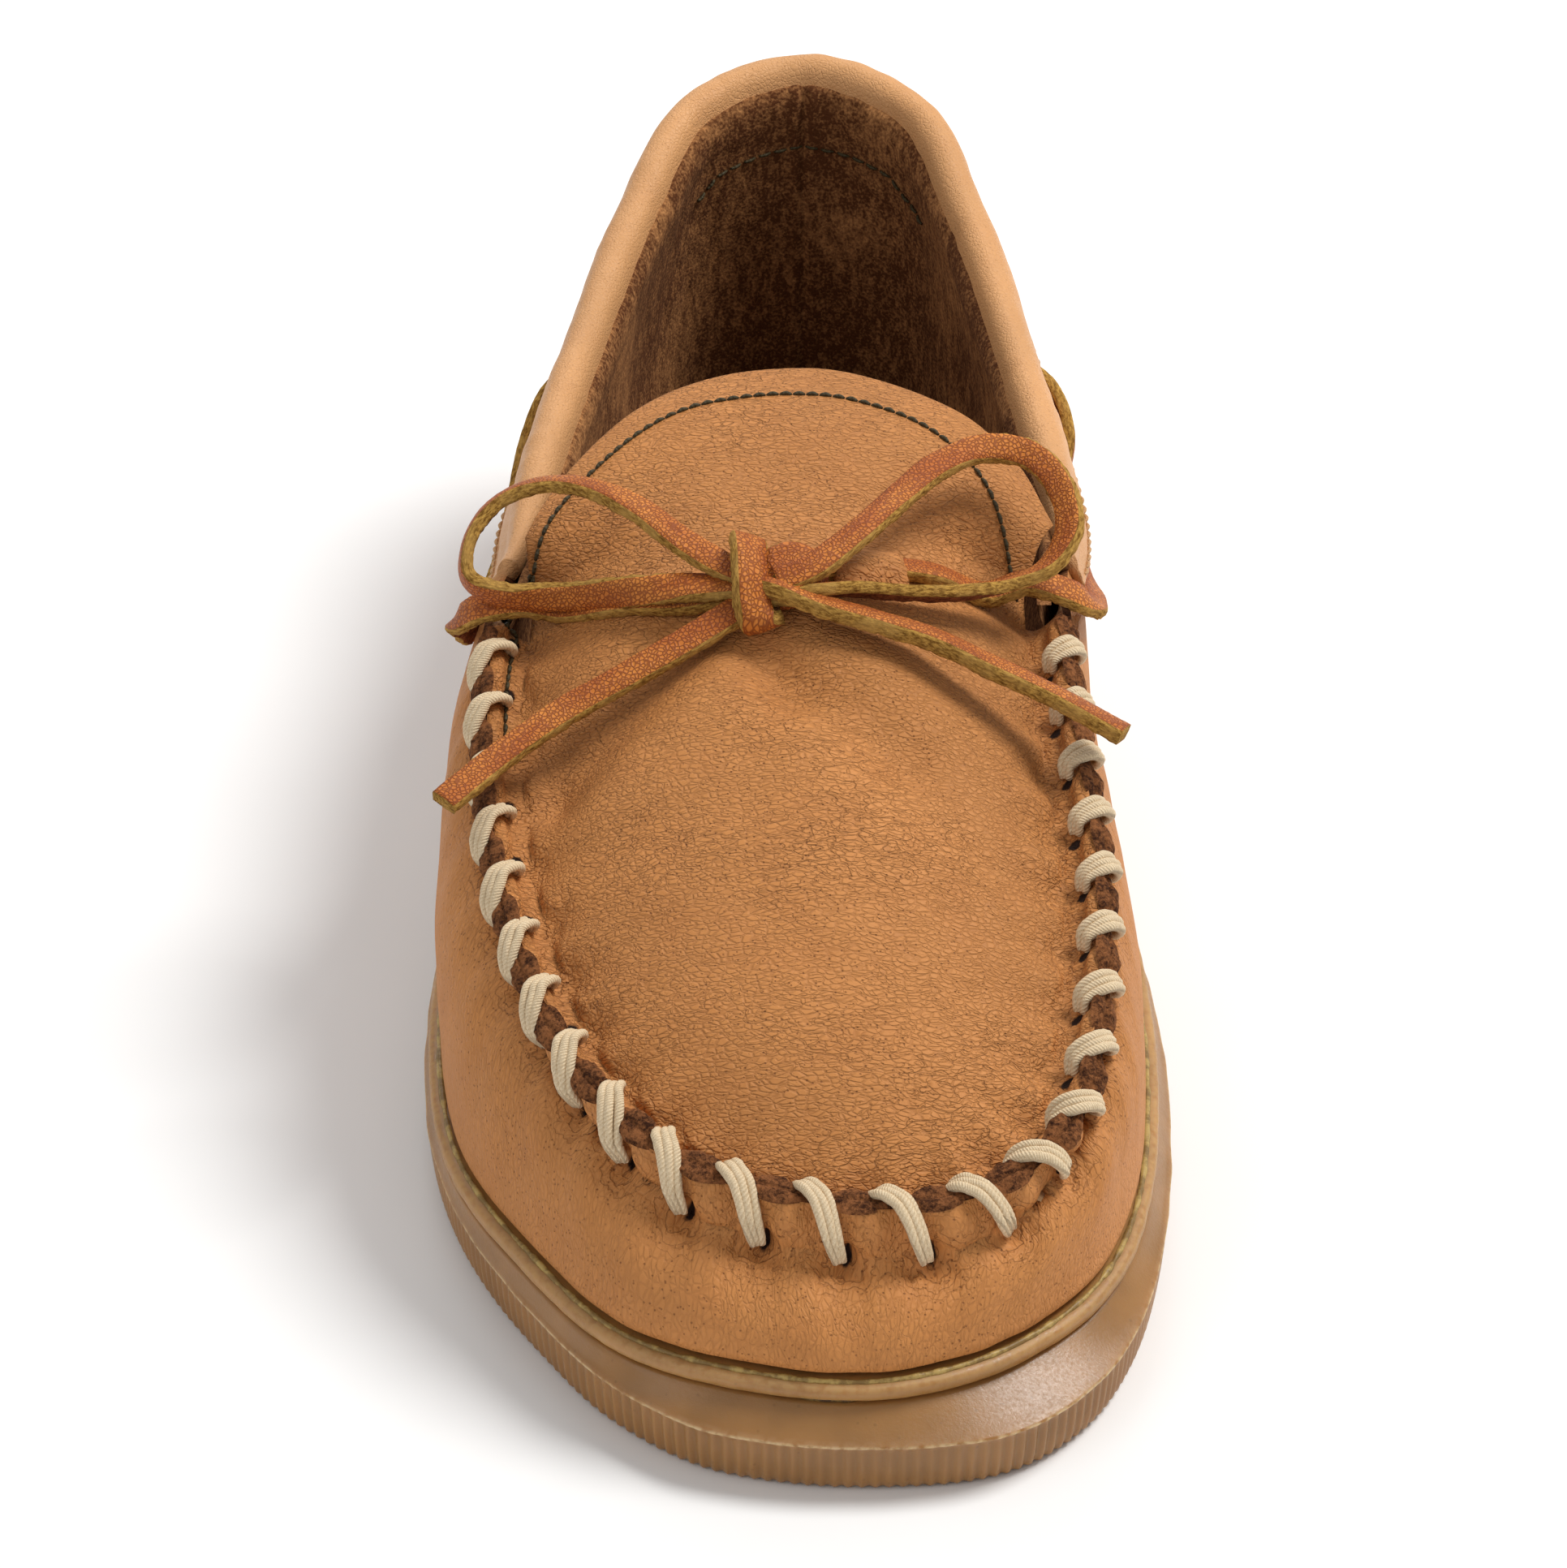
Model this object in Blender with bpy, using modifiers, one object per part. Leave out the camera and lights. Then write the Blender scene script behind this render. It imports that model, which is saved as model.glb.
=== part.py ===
"""Right-foot leather moccasin on a two-layer rubber sole, laced with one leather thong.

Every length is in millimetres until a mesh is made.  The toe points along -Y, the inner
(medial) side of the foot is +X, and the sole rests on Z = 0 with the origin under the
middle of the shoe.

The upper is lofted between two closed lines that share one set of stations, counted from
the heel along the lateral side, round the toe and back along the medial side: the foot
line, where the leather meets the sole, and the top line, which is the stitched ridge in
front of the throat and the edge under the padded collar behind it.
"""

import math

import bmesh
import bpy
import numpy as np
from mathutils import Vector
from mathutils.bvhtree import BVHTree

MM = 0.001
GAP = 0.35

# Sole stack: heights of each layer's underside and top.
OUTSOLE_TOP = 11.8
MIDSOLE = (OUTSOLE_TOP + GAP, 14.6)
UPPER_BASE = MIDSOLE[1] + GAP
LEATHER = 1.5
INSOLE_BOARD = (UPPER_BASE + LEATHER + GAP, UPPER_BASE + LEATHER + GAP + 1.2)
FOOTBED = (INSOLE_BOARD[1] + GAP, INSOLE_BOARD[1] + GAP + 2.6)
SOCK_LINER = (FOOTBED[1] + GAP, FOOTBED[1] + GAP + 0.9)

# Widest outline of the sole, a closed smooth curve through these points.
SOLE_OUTLINE = [
    (0, 138.3), (-24.5, 129), (-35, 104), (-39.5, 72), (-47, 34), (-52.5, -4), (-54.5, -30),
    (-54.5, -52), (-52.9, -69), (-49.4, -83), (-43.8, -96.5), (-36, -110), (-26.2, -123.7),
    (-13.2, -134), (0, -137.7), (13, -138.3), (26, -136.6), (34, -132.6), (42.4, -123.6),
    (48.2, -111.2), (52, -95.5), (54.2, -74), (54.5, -52), (52.5, -28), (48, -4), (41.5, 34),
    (37, 72), (34, 104), (24.5, 129)]
# Sole profiles: height, plain inset, and share of the way in to the edge of the midsole.
RIM_OVERHANG = 1.9
OUTSOLE_PROFILE = [
    (0, 1.8, 0), (0.8, 0.9, 0), (3, 0.4, 0), (8.2, 0, 0), (8.8, 0.2, 0.2), (OUTSOLE_TOP, 0.3, 1)]
MIDSOLE_PROFILE = [(MIDSOLE[0], 0.4), (12.9, 0), (14, 0.1), (MIDSOLE[1], 0.7)]

# Stations of the upper: foot line (x, y) and top line (x, y, z).
STATIONS = [
    ((0, 133.5), (0, 133, 74)), ((-20.5, 126.4), (-18, 124, 71.5)),
    ((-30.8, 105), (-27, 102, 65)), ((-35.5, 75), (-33.3, 76, 59.5)),
    ((-43, 40), (-38.8, 44, 57)), ((-48.9, 4), (-42.5, 14, 57)),
    ((-51.2, -26), (-45.8, -13, 60.5)), ((-51.8, -54), (-45.6, -42, 54)),
    ((-47.6, -82.5), (-41, -69, 47)), ((-37.2, -103.2), (-31.4, -93.6, 41)),
    ((-22.5, -122.4), (-16.4, -110, 36.7)), ((-4, -130.4), (-3, -115.7, 35.2)),
    ((12, -131.8), (12.4, -118, 34.6)), ((27.6, -125.8), (27.8, -114.6, 35.5)),
    ((41.2, -111.8), (39.2, -103, 38.7)), ((48, -93), (43.2, -86.2, 43)),
    ((50.7, -63), (44.3, -60, 49.6)), ((49.8, -33), (42, -36, 55.5)),
    ((46, -5), (40, -8, 60)), ((40.4, 26), (40.6, 16, 57)),
    ((36.2, 56), (37.2, 48, 57)), ((33.5, 84), (32.7, 76, 59.5)),
    ((29.6, 106), (26.8, 102, 65)), ((20.5, 126.4), (18, 124, 71.5))]
PER_SPAN = 3  # samples a station
UP = np.array([0, 0, 1.0])
THROAT_LATERAL, THROAT_MEDIAL = 6, 18
PLUG_CORNER_LATERAL, PLUG_CORNER_MEDIAL = 10, 14
HEEL = len(STATIONS)

# Lasting margin under the insole, as (inward, up) from the foot line, and where the wall starts.
LASTING_MARGIN = [(9, 0), (4, 0), (1.2, 0.25), (0.2, 1)]
WALL_START = 2.2
WALL_STEPS_VAMP, WALL_STEPS_QUARTER = 5, 6

# Stitched ridge: the two flanges stand up from the shoe and lean outward a little.
RIDGE_HEIGHT = 4.5
RIDGE_LEAN = 0.25
FLANGE_FACE = LEATHER + GAP / 2
FLANGE_FILLET = 0.9
FLANGE_HEIGHTS = (FLANGE_FILLET, 2.7, RIDGE_HEIGHT)
STITCH_COUNT = 24
THREAD_RADIUS = 0.75
THREAD_SWING = 3.0  # half the helix's width
THREAD_RISE = 2.8  # half its height
THREAD_LIFT = 0.6
THREAD_MARGIN = 3.0  # from the ridge's ends
THREAD_TURN_POINTS = 6
THREAD_TURN_START = 0.2 - math.pi / 2
THREAD_HOLE_RADIUS = THREAD_RADIUS * 1.25 + GAP

VAMP_SWELL = -1.0
QUARTER_SWELL = 1.4
PLUG_CROWN = 15.0
THROAT_SETBACK = np.array([0, 6.5, 2.4])
PLUG_FULLNESS = 5.0
TONGUE_EDGE = [
    (-40.6, -2.2, 69.2), (-39, 2, 71), (-35.4, 9, 73), (-29.6, 16.6, 75.5),
    (-22.4, 23.6, 77.6), (-14, 28, 78.7), (-5, 30.2, 79.2), (4, 30.6, 79.4),
    (12, 29.2, 79), (19, 25.6, 78), (25.2, 20.4, 76.7), (29.4, 14.4, 75), (33, 5, 72)]
TONGUE_ARCH = 2.5
TONGUE_SPLIT = 0.9

# Room left at the seams between the walls' pieces.
BACK_SEAM = 0.4
THROAT_SEAM = 2.3
LINING_SETBACK = 2.2

# Collar section as (outward, upward) from the quarter's top edge, outer hem to inner hem.
COLLAR_SECTION = [
    (3.5, -7.5), (3.7, -4), (3.4, 0), (2.6, 3), (1.2, 5.1), (-0.8, 5.8), (-2.8, 5),
    (-3.9, 2.8), (-4.2, 0)]
COLLAR_THICKNESS = 1.2
COLLAR_FRONT_LATERAL, COLLAR_FRONT_MEDIAL = 5.33, 18.67
COLLAR_TAPER = 1.0
COLLAR_SLIM = 0.5
COLLAR_FOAM_RADIUS = 2.5
COLLAR_FOAM_INWARD = 0.55
LINING_THICKNESS = 1.1
COUNTER_THICKNESS = 1.1
LINING_BELOW_TOP, COUNTER_BELOW_TOP = 1.3, 8
LINING_ABOVE_FOOTBED = 0.6
COUNTER_HALF = 2.67  # stations either side of the heel
FOOTBED_INSET = LEATHER + GAP + COUNTER_THICKNESS + LINING_THICKNESS + 2.4
SOCK_LINER_INSET = FOOTBED_INSET + 0.4

# The thong: a flat leather strip, grain side out.
LACE_WIDTH = 4.4
LACE_THICKNESS = 2.0
KNOT_CENTRE = (-5, -21.5)
KNOT_HALF = (6.2, 5, 3.4)
KNOT_CAGE = 1.25  # the rounded knot's cage is this much larger
KNOT_LIFT = 0.5
LACE_REST = LACE_THICKNESS / 2 + 2 * GAP  # from the leather to the thong's middle
SLIT_LATERAL, SLIT_MEDIAL = 3.33, 20.67
SLIT_SIZE = (16, 5, 6)  # along the collar, through it and up
SLIT_MIDDLE = (3.6, -3.2)  # out and up from the quarter's top edge
TUNNEL_MIDDLE = (1.65, -4.5)

COLOURS = {
    "rubber": ((0.58, 0.40, 0.19), 0.42), "midsole_rubber": ((0.66, 0.48, 0.26), 0.42),
    "board": ((0.50, 0.42, 0.31), 0.85), "foam": ((0.72, 0.66, 0.52), 0.9),
    "suede": ((0.14, 0.055, 0.022), 0.95), "leather": ((0.56, 0.27, 0.10), 0.55),
    "collar_leather": ((0.68, 0.38, 0.18), 0.5), "thread": ((0.76, 0.66, 0.46), 0.7),
    "lace_leather": ((0.46, 0.15, 0.05), 0.55)}


# ---------------------------------------------------------------- curves

def smooth_curve(points, closed, per_span):
    """Points on a centripetal Catmull-Rom curve, per_span steps between control points."""
    pts = np.asarray(points, float)
    if closed:
        ring = np.vstack([pts[-1], pts, pts[0], pts[1]])
    else:
        ring = np.vstack([2 * pts[0] - pts[1], pts, 2 * pts[-1] - pts[-2]])
    curve = []
    for i in range(1, len(ring) - 2):
        p = ring[i - 1:i + 3]
        knots = np.concatenate([[0], np.cumsum(np.sqrt(np.linalg.norm(np.diff(p, axis=0), axis=1)))])
        for step in range(per_span):
            t = knots[1] + (knots[2] - knots[1]) * step / per_span
            a = [mix(p[k], p[k + 1], (t - knots[k]) / (knots[k + 1] - knots[k])) for k in range(3)]
            b = [mix(a[k], a[k + 1], (t - knots[k]) / (knots[k + 2] - knots[k])) for k in range(2)]
            curve.append(mix(b[0], b[1], (t - knots[1]) / (knots[2] - knots[1])))
    if not closed:
        curve.append(pts[-1])
    return np.array(curve)


def mix(a, b, t):
    return a * (1 - t) + b * t


def resample(points, count):
    """The same open curve with count points spaced evenly along it."""
    pts = np.asarray(points, float)
    run = np.concatenate([[0], np.cumsum(np.linalg.norm(np.diff(pts, axis=0), axis=1))])
    places = np.linspace(0, run[-1], count)
    return np.stack([np.interp(places, run, pts[:, k]) for k in range(pts.shape[1])], axis=1)


def evenly_mixed(vectors, per_span):
    """Vectors mixed from one to the next, per_span steps each."""
    table = np.asarray(vectors, float)
    places = np.linspace(0, len(table) - 1, (len(table) - 1) * per_span + 1)
    return np.stack([np.interp(places, range(len(table)), column) for column in table.T], axis=1)


def unit(vectors):
    v = np.asarray(vectors, float)
    return v / np.linalg.norm(v, axis=-1, keepdims=True)


def level_normals(points, closed):
    """Horizontal outward normals of a line that runs lateral side, toe, medial side."""
    if closed:
        tangent = np.roll(points, -1, axis=0) - np.roll(points, 1, axis=0)
    else:
        tangent = np.gradient(points, axis=0)
    return unit(np.stack([tangent[:, 1], -tangent[:, 0], np.zeros(len(points))], axis=1))


def inset_loop(loop, distance):
    """A closed level outline moved inward by a distance."""
    return loop - level_normals(loop, True) * distance


# ---------------------------------------------------------------- the upper's lines

def station_lines():
    """Foot line, top line and their outward normals, PER_SPAN samples a station."""
    foot = smooth_curve([(x, y, UPPER_BASE) for (x, y), _ in STATIONS], True, PER_SPAN)
    top = smooth_curve([point for _, point in STATIONS], True, PER_SPAN)
    return foot, top, level_normals(foot, True), level_normals(top, True)


FOOT, TOP, FOOT_OUT, TOP_OUT = station_lines()
RIDGE_UP = unit(TOP_OUT * RIDGE_LEAN + UP)


def samples(start, end):
    """Sample numbers from one station to another, wrapping round the heel."""
    first, last = round(start * PER_SPAN), round(end * PER_SPAN)
    return [i % (HEEL * PER_SPAN) for i in range(first, last + 1)]


def bezier(p0, p1, p2, p3, steps):
    """Cubic Bezier points, leaving the first one out."""
    t = np.linspace(0, 1, steps + 1)[1:, None]
    return (1 - t) ** 3 * p0 + 3 * (1 - t) ** 2 * t * p1 + 3 * (1 - t) * t ** 2 * p2 + t ** 3 * p3


def wall_section(i, end, steps, swell):
    """Outer face of the wall: lasting margin, feather edge, then up to a given end point."""
    foot, out = FOOT[i], FOOT_OUT[i]
    start = foot + UP * WALL_START
    rise = end[2] - start[2]
    reach = np.linalg.norm((end - start)[:2])
    steep = rise / (rise + reach)
    low = start + UP * rise * 0.5 + out * swell
    high = end + TOP_OUT[i] * reach * 0.5 - UP * rise * 0.3 * steep
    margin = [foot - out * inward + UP * height for inward, height in LASTING_MARGIN]
    return margin + [start] + list(bezier(start, low, high, end, steps))


def ridge_point(i, side, height):
    """A point by the ridge: side is outward from its mid-plane, height is above its foot."""
    return TOP[i] + TOP_OUT[i] * side + RIDGE_UP[i] * (height - RIDGE_HEIGHT)


def vamp_section(i):
    end = ridge_point(i, FLANGE_FACE + FLANGE_FILLET, 0)
    flange = [ridge_point(i, FLANGE_FACE, height) for height in FLANGE_HEIGHTS]
    return wall_section(i, end, WALL_STEPS_VAMP, VAMP_SWELL) + flange


def quarter_section(i):
    return wall_section(i, TOP[i], WALL_STEPS_QUARTER, QUARTER_SWELL)


def beside_wall(i, out, up):
    """A point off the quarter's outer face: out from it, and up from its top edge."""
    wall = np.array(quarter_section(i))[len(LASTING_MARGIN) - 1:]
    height = TOP[i][2] + up
    x, y = (np.interp(height, wall[:, 2], wall[:, k]) for k in (0, 1))
    return np.array([x, y, height]) + TOP_OUT[i] * out


# ---------------------------------------------------------------- meshes

def new_material(name):
    colour, roughness = COLOURS[name]
    material = bpy.data.materials.new(name)
    material.use_nodes = True
    shader = material.node_tree.nodes["Principled BSDF"]
    shader.inputs["Base Color"].default_value = (*colour, 1)
    shader.inputs["Roughness"].default_value = roughness
    shader.inputs["Metallic"].default_value = 0
    return material


def add_object(name, mesh, material, collection):
    thing = bpy.data.objects.new(name, mesh)
    collection.objects.link(thing)
    if material:
        mesh.materials.append(material)
    mesh.shade_smooth()
    mesh.set_sharp_from_angle(angle=math.radians(40))
    return thing


def mesh_from_rows(name, rows, closed_columns=False, caps=False):
    """A lofted surface through rows of points, as a mesh in metres."""
    rows = np.asarray(rows, float) * MM
    bm = bmesh.new()
    grid = [[bm.verts.new(point) for point in row] for row in rows]
    column_pairs = len(grid[0]) if closed_columns else len(grid[0]) - 1
    for upper, lower in zip(grid, grid[1:]):
        for c in range(column_pairs):
            d = (c + 1) % len(upper)
            bm.faces.new((upper[c], upper[d], lower[d], lower[c]))
    if caps:
        bm.faces.new(reversed(grid[0]))
        bm.faces.new(grid[-1])
        bmesh.ops.recalc_face_normals(bm, faces=bm.faces)
    mesh = bpy.data.meshes.new(name)
    bm.to_mesh(mesh)
    bm.free()
    return mesh


def surface_normals(rows):
    """Normals on the side that mesh_from_rows makes its faces look to."""
    grid = np.asarray(rows, float)
    return unit(np.cross(np.gradient(grid, axis=1), np.gradient(grid, axis=0)))


def thicken(thing, thickness, grow):
    """Give an open surface thickness along its faces' normals (grow 1) or against them (-1)."""
    solidify = thing.modifiers.new("thickness", "SOLIDIFY")
    solidify.thickness = thickness * MM
    solidify.offset = grow
    solidify.use_even_offset = True
    solidify.use_quality_normals = True


def add_shell(name, rows, thickness, material, collection, grow):
    """A thickened surface; the normals of a wall look into the shoe, and those of the tongue look up."""
    shell = add_object(name, mesh_from_rows(name, rows), material, collection)
    thicken(shell, thickness, grow)
    return shell


def add_strip(name, route, faces, width, thickness, material, collection):
    """A flat strip along a route; faces are the directions that its grain side looks."""
    route, faces = np.asarray(route, float), np.asarray(faces, float)
    tangent = unit(np.gradient(route, axis=0))
    across = unit(np.cross(tangent, faces))
    grain = np.cross(across, tangent)
    half_width, half_thickness = across * width / 2, grain * thickness / 2
    corners = [route + half_width + half_thickness, route - half_width + half_thickness,
               route - half_width - half_thickness, route + half_width - half_thickness]
    rows = np.stack(corners, axis=1)
    mesh = mesh_from_rows(name, rows, closed_columns=True, caps=True)
    return add_object(name, mesh, material, collection)


def add_tube(name, route, radius, resolution, material, collection):
    """A round tube along a route, as a mesh with welded caps."""
    curve = bpy.data.curves.new(name, "CURVE")
    curve.dimensions = "3D"
    curve.bevel_depth = radius * MM
    curve.bevel_resolution = resolution
    curve.use_fill_caps = True
    spline = curve.splines.new("POLY")
    spline.points.add(len(route) - 1)
    for point, place in zip(spline.points, route):
        point.co = (*(np.asarray(place) * MM), 1)
    source = bpy.data.objects.new(name + "_curve", curve)
    collection.objects.link(source)
    bpy.context.view_layer.update()
    evaluated = source.evaluated_get(bpy.context.evaluated_depsgraph_get())
    mesh = bpy.data.meshes.new_from_object(evaluated)
    bpy.data.objects.remove(source)
    bm = bmesh.new()
    bm.from_mesh(mesh)
    bmesh.ops.remove_doubles(bm, verts=bm.verts, dist=1e-6)
    bmesh.ops.recalc_face_normals(bm, faces=bm.faces)
    bm.to_mesh(mesh)
    bm.free()
    return add_object(name, mesh, material, collection)


def cut(target, cutter):
    """Cut a hole in target, leaving the cutter hidden in the file."""
    cutter.hide_render = True
    cutter.display_type = "WIRE"
    boolean = target.modifiers.new("cut_" + cutter.name, "BOOLEAN")
    boolean.operation = "DIFFERENCE"
    boolean.solver = "EXACT"
    boolean.use_self = True
    boolean.object = cutter


# ---------------------------------------------------------------- sole and footbed

def add_layer(name, rows, material, collection):
    """A solid through level outlines, lowest first, with flat ends."""
    mesh = mesh_from_rows(name, rows, closed_columns=True, caps=True)
    return add_object(name, mesh, material, collection)


def distance_to_line(points, line):
    """How far each point is from a closed line, measured to its samples' chords."""
    start, along = line, np.roll(line, -1, axis=0) - line
    gap = points[:, None] - start[None]
    t = np.clip((gap * along).sum(2) / (along * along).sum(1), 0, 1)
    return np.linalg.norm(gap - along * t[..., None], axis=2).min(axis=1)


def build_sole(materials, collection):
    """The outsole, which slopes in above its ribbed band, and the midsole's thin rim."""
    outline = smooth_curve([(x, y, 0) for x, y in SOLE_OUTLINE], True, PER_SPAN)
    rim = FOOT * np.array([1, 1, 0])
    slope = distance_to_line(outline, rim) - RIM_OVERHANG
    rows = []
    for height, inset, share in OUTSOLE_PROFILE:
        rows.append(inset_loop(outline, (inset + share * slope)[:, None]) + UP * height)
    add_layer("outsole", rows, materials["rubber"], collection)
    rows = [inset_loop(rim, inset - RIM_OVERHANG) + UP * height for height, inset in MIDSOLE_PROFILE]
    add_layer("midsole", rows, materials["midsole_rubber"], collection)


def build_footbed(materials, collection):
    foot_plan = FOOT * np.array([1, 1, 0])
    for name, heights, inset, material in (
            ("insole_board", INSOLE_BOARD, FOOTBED_INSET, "board"),
            ("footbed_foam", FOOTBED, FOOTBED_INSET, "foam"),
            ("sock_liner", SOCK_LINER, SOCK_LINER_INSET, "suede")):
        rows = [inset_loop(foot_plan, inset) + UP * height for height in heights]
        add_layer(name, rows, materials[material], collection)


# ---------------------------------------------------------------- upper

def plug_grid():
    """The plug inside the ridge, as a Coons patch, and its last row behind the lace."""
    def edge(start, end):
        return np.array([ridge_point(i, -FLANGE_FACE - FLANGE_FILLET, 0) for i in samples(start, end)])

    left = edge(THROAT_LATERAL, PLUG_CORNER_LATERAL)[::-1]
    front = edge(PLUG_CORNER_LATERAL, PLUG_CORNER_MEDIAL)
    right = edge(PLUG_CORNER_MEDIAL, THROAT_MEDIAL)
    back = throat_line(left[-1], right[-1], len(front))
    a = np.linspace(0, 1, len(front))[None, :, None]
    b = np.linspace(0, 1, len(left))[:, None, None]
    sides = mix(left[:, None], right[:, None], a)
    ends = mix(front[None], back[None], b)
    corners = mix(mix(left[0], right[0], a), mix(left[-1], right[-1], a), b)
    fullness = PLUG_FULLNESS * np.sin(np.pi * a) * np.sin(np.pi * b) ** 0.8
    crown = sides + ends - corners + fullness * UP
    return np.vstack([crown, [crown[-1] + THROAT_SETBACK]])


def throat_line(left, right, count):
    """The arched line across the instep between the ridge's two ends."""
    t = np.linspace(0, 1, count)
    line = mix(left[None], right[None], t[:, None])
    line[:, 2] += PLUG_CROWN * (4 * t * (1 - t)) ** 0.85
    return line


def build_plug(grid, materials, collection):
    """The plug's crown with the flange that stands up along its three sewn sides."""
    sewn_rows = len(grid) - 1
    rim = [grid[r, 0] for r in range(sewn_rows - 1, 0, -1)] + list(grid[0])
    rim += [grid[r, -1] for r in range(1, sewn_rows)]
    flange = []
    for i in samples(THROAT_LATERAL, THROAT_MEDIAL):
        flange.append([ridge_point(i, -FLANGE_FACE, height) for height in FLANGE_HEIGHTS])
    crown = mesh_from_rows("plug", grid)
    bm = bmesh.new()
    bm.from_mesh(crown)
    strip = [[p, *column] for p, column in zip(rim, flange)]
    verts = [[bm.verts.new(point * MM) for point in column] for column in strip]
    for first, second in zip(verts, verts[1:]):
        for k in range(len(first) - 1):
            bm.faces.new((first[k], first[k + 1], second[k + 1], second[k]))
    bmesh.ops.remove_doubles(bm, verts=bm.verts, dist=1e-6)
    bmesh.ops.recalc_face_normals(bm, faces=bm.faces)
    bm.faces.ensure_lookup_table()
    highest = max(bm.faces, key=lambda face: face.calc_center_median().z)
    if highest.normal.z < 0:
        bmesh.ops.reverse_faces(bm, faces=bm.faces)
    bm.to_mesh(crown)
    bm.free()
    plug = add_object("plug", crown, materials["leather"], collection)
    thicken(plug, LEATHER, -1)
    return plug


def tongue_grid(throat):
    """The tongue from just behind the throat line to its free edge."""
    edge = resample(smooth_curve(TONGUE_EDGE, False, 6), len(throat))
    start = throat + np.array([0, TONGUE_SPLIT, 0])
    rows = []
    for t in np.linspace(0, 1, 7):
        row = mix(start, edge, t)
        row[:, 2] += TONGUE_ARCH * math.sin(math.pi * t)
        rows.append(row)
    return np.array(rows)


def build_tongue(grid, materials, collection):
    add_shell("tongue", grid, LEATHER, materials["leather"], collection, -1)
    inner = grid - surface_normals(grid) * (LEATHER + GAP)
    inner = inner[:-1, 1:-1]
    add_shell("tongue_lining", inner, LINING_THICKNESS, materials["suede"], collection, -1)


def build_vamp(materials, collection):
    vamp_rows = [vamp_section(i) for i in samples(THROAT_LATERAL, THROAT_MEDIAL)]
    return add_shell("vamp", vamp_rows, LEATHER, materials["leather"], collection, 1)


def trimmed(rows, front, back):
    """Rows with their first or last one pulled in, so that neighbours keep a gap."""
    rows = np.array(rows)
    if front:
        rows[0] += unit(rows[1] - rows[0]) * front
    if back:
        rows[-1] += unit(rows[-2] - rows[-1]) * back
    return rows


def build_quarters(materials, collection):
    """Quarters, linings and the heel counter, each a layer inside the one before."""
    sides = (("lateral", 0, THROAT_LATERAL, BACK_SEAM, THROAT_SEAM),
             ("medial", THROAT_MEDIAL, HEEL, THROAT_SEAM, BACK_SEAM))
    counter_depth = LEATHER + GAP
    lining_depth = counter_depth + COUNTER_THICKNESS + GAP
    for side, start, end, front_gap, back_gap in sides:
        rows = trimmed([quarter_section(i) for i in samples(start, end)], front_gap, back_gap)
        add_shell("quarter_" + side, rows, LEATHER, materials["leather"], collection, 1)
        inner = rows + surface_normals(rows) * lining_depth
        inner = lining_band(inner, LINING_BELOW_TOP)
        inner = trimmed(inner, front_gap * LINING_SETBACK, back_gap * LINING_SETBACK)
        add_shell("lining_" + side, inner, LINING_THICKNESS, materials["suede"], collection, 1)
    wrap = samples(HEEL - COUNTER_HALF, HEEL + COUNTER_HALF)
    rows = np.array([quarter_section(i) for i in wrap])
    rows = rows + surface_normals(rows) * counter_depth
    rows = lining_band(rows, COUNTER_BELOW_TOP)
    add_shell("heel_counter", rows, COUNTER_THICKNESS, materials["board"], collection, 1)


def lining_band(rows, below_top):
    """The part of a wall from just above the footbed to a depth below its top edge."""
    band = []
    floor = SOCK_LINER[1] + LINING_ABOVE_FOOTBED
    for row in rows:
        heights = np.linspace(floor, row[-1][2] - below_top, 5)
        wall = np.array(row)[len(LASTING_MARGIN) + 1:]
        band.append([[np.interp(h, wall[:, 2], wall[:, k]) for k in range(3)] for h in heights])
    return np.array(band)


def build_collar(materials, collection):
    """A cover folded over a roll of foam, slimmer at its two front ends."""
    start, end = COLLAR_FRONT_MEDIAL, HEEL + COLLAR_FRONT_LATERAL
    rows, core = [], []
    for k, i in enumerate(samples(start, end)):
        station = start + k / PER_SPAN
        inside = min(station - start, end - station) / COLLAR_TAPER
        fullness = COLLAR_SLIM + (1 - COLLAR_SLIM) * min(inside, 1)
        rows.append([beside_wall(i, out * fullness, up * fullness) for out, up in COLLAR_SECTION])
        if inside >= 1:
            core.append(TOP[i] - TOP_OUT[i] * COLLAR_FOAM_INWARD + UP * (GAP + COLLAR_FOAM_RADIUS))
    cover = add_shell("collar_cover", rows, COLLAR_THICKNESS, materials["collar_leather"], collection, -1)
    add_tube("collar_foam", core, COLLAR_FOAM_RADIUS, 1, materials["foam"], collection)
    return cover


# ---------------------------------------------------------------- ridge thread

def ridge_thread_route():
    """One helix over the ridge and through both flanges, STITCH_COUNT turns long."""
    ridge = samples(THROAT_LATERAL, THROAT_MEDIAL)
    lines = np.hstack([TOP[ridge], TOP_OUT[ridge], RIDGE_UP[ridge]])
    run = np.concatenate([[0], np.cumsum(np.linalg.norm(np.diff(TOP[ridge], axis=0), axis=1))])
    places = np.linspace(THREAD_MARGIN, run[-1] - THREAD_MARGIN, STITCH_COUNT * THREAD_TURN_POINTS + 1)
    at = np.stack([np.interp(places, run, lines[:, k]) for k in range(9)], axis=1)
    turn = 2 * math.pi * np.arange(len(places)) / THREAD_TURN_POINTS + THREAD_TURN_START
    middle = at[:, 0:3] - at[:, 6:9] * (RIDGE_HEIGHT - THREAD_SWING)
    sideways = at[:, 3:6] * (-THREAD_SWING * np.cos(turn))[:, None]
    upright = at[:, 6:9] * (THREAD_RISE * np.sin(turn) + THREAD_LIFT)[:, None]
    return middle + sideways + upright


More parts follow.
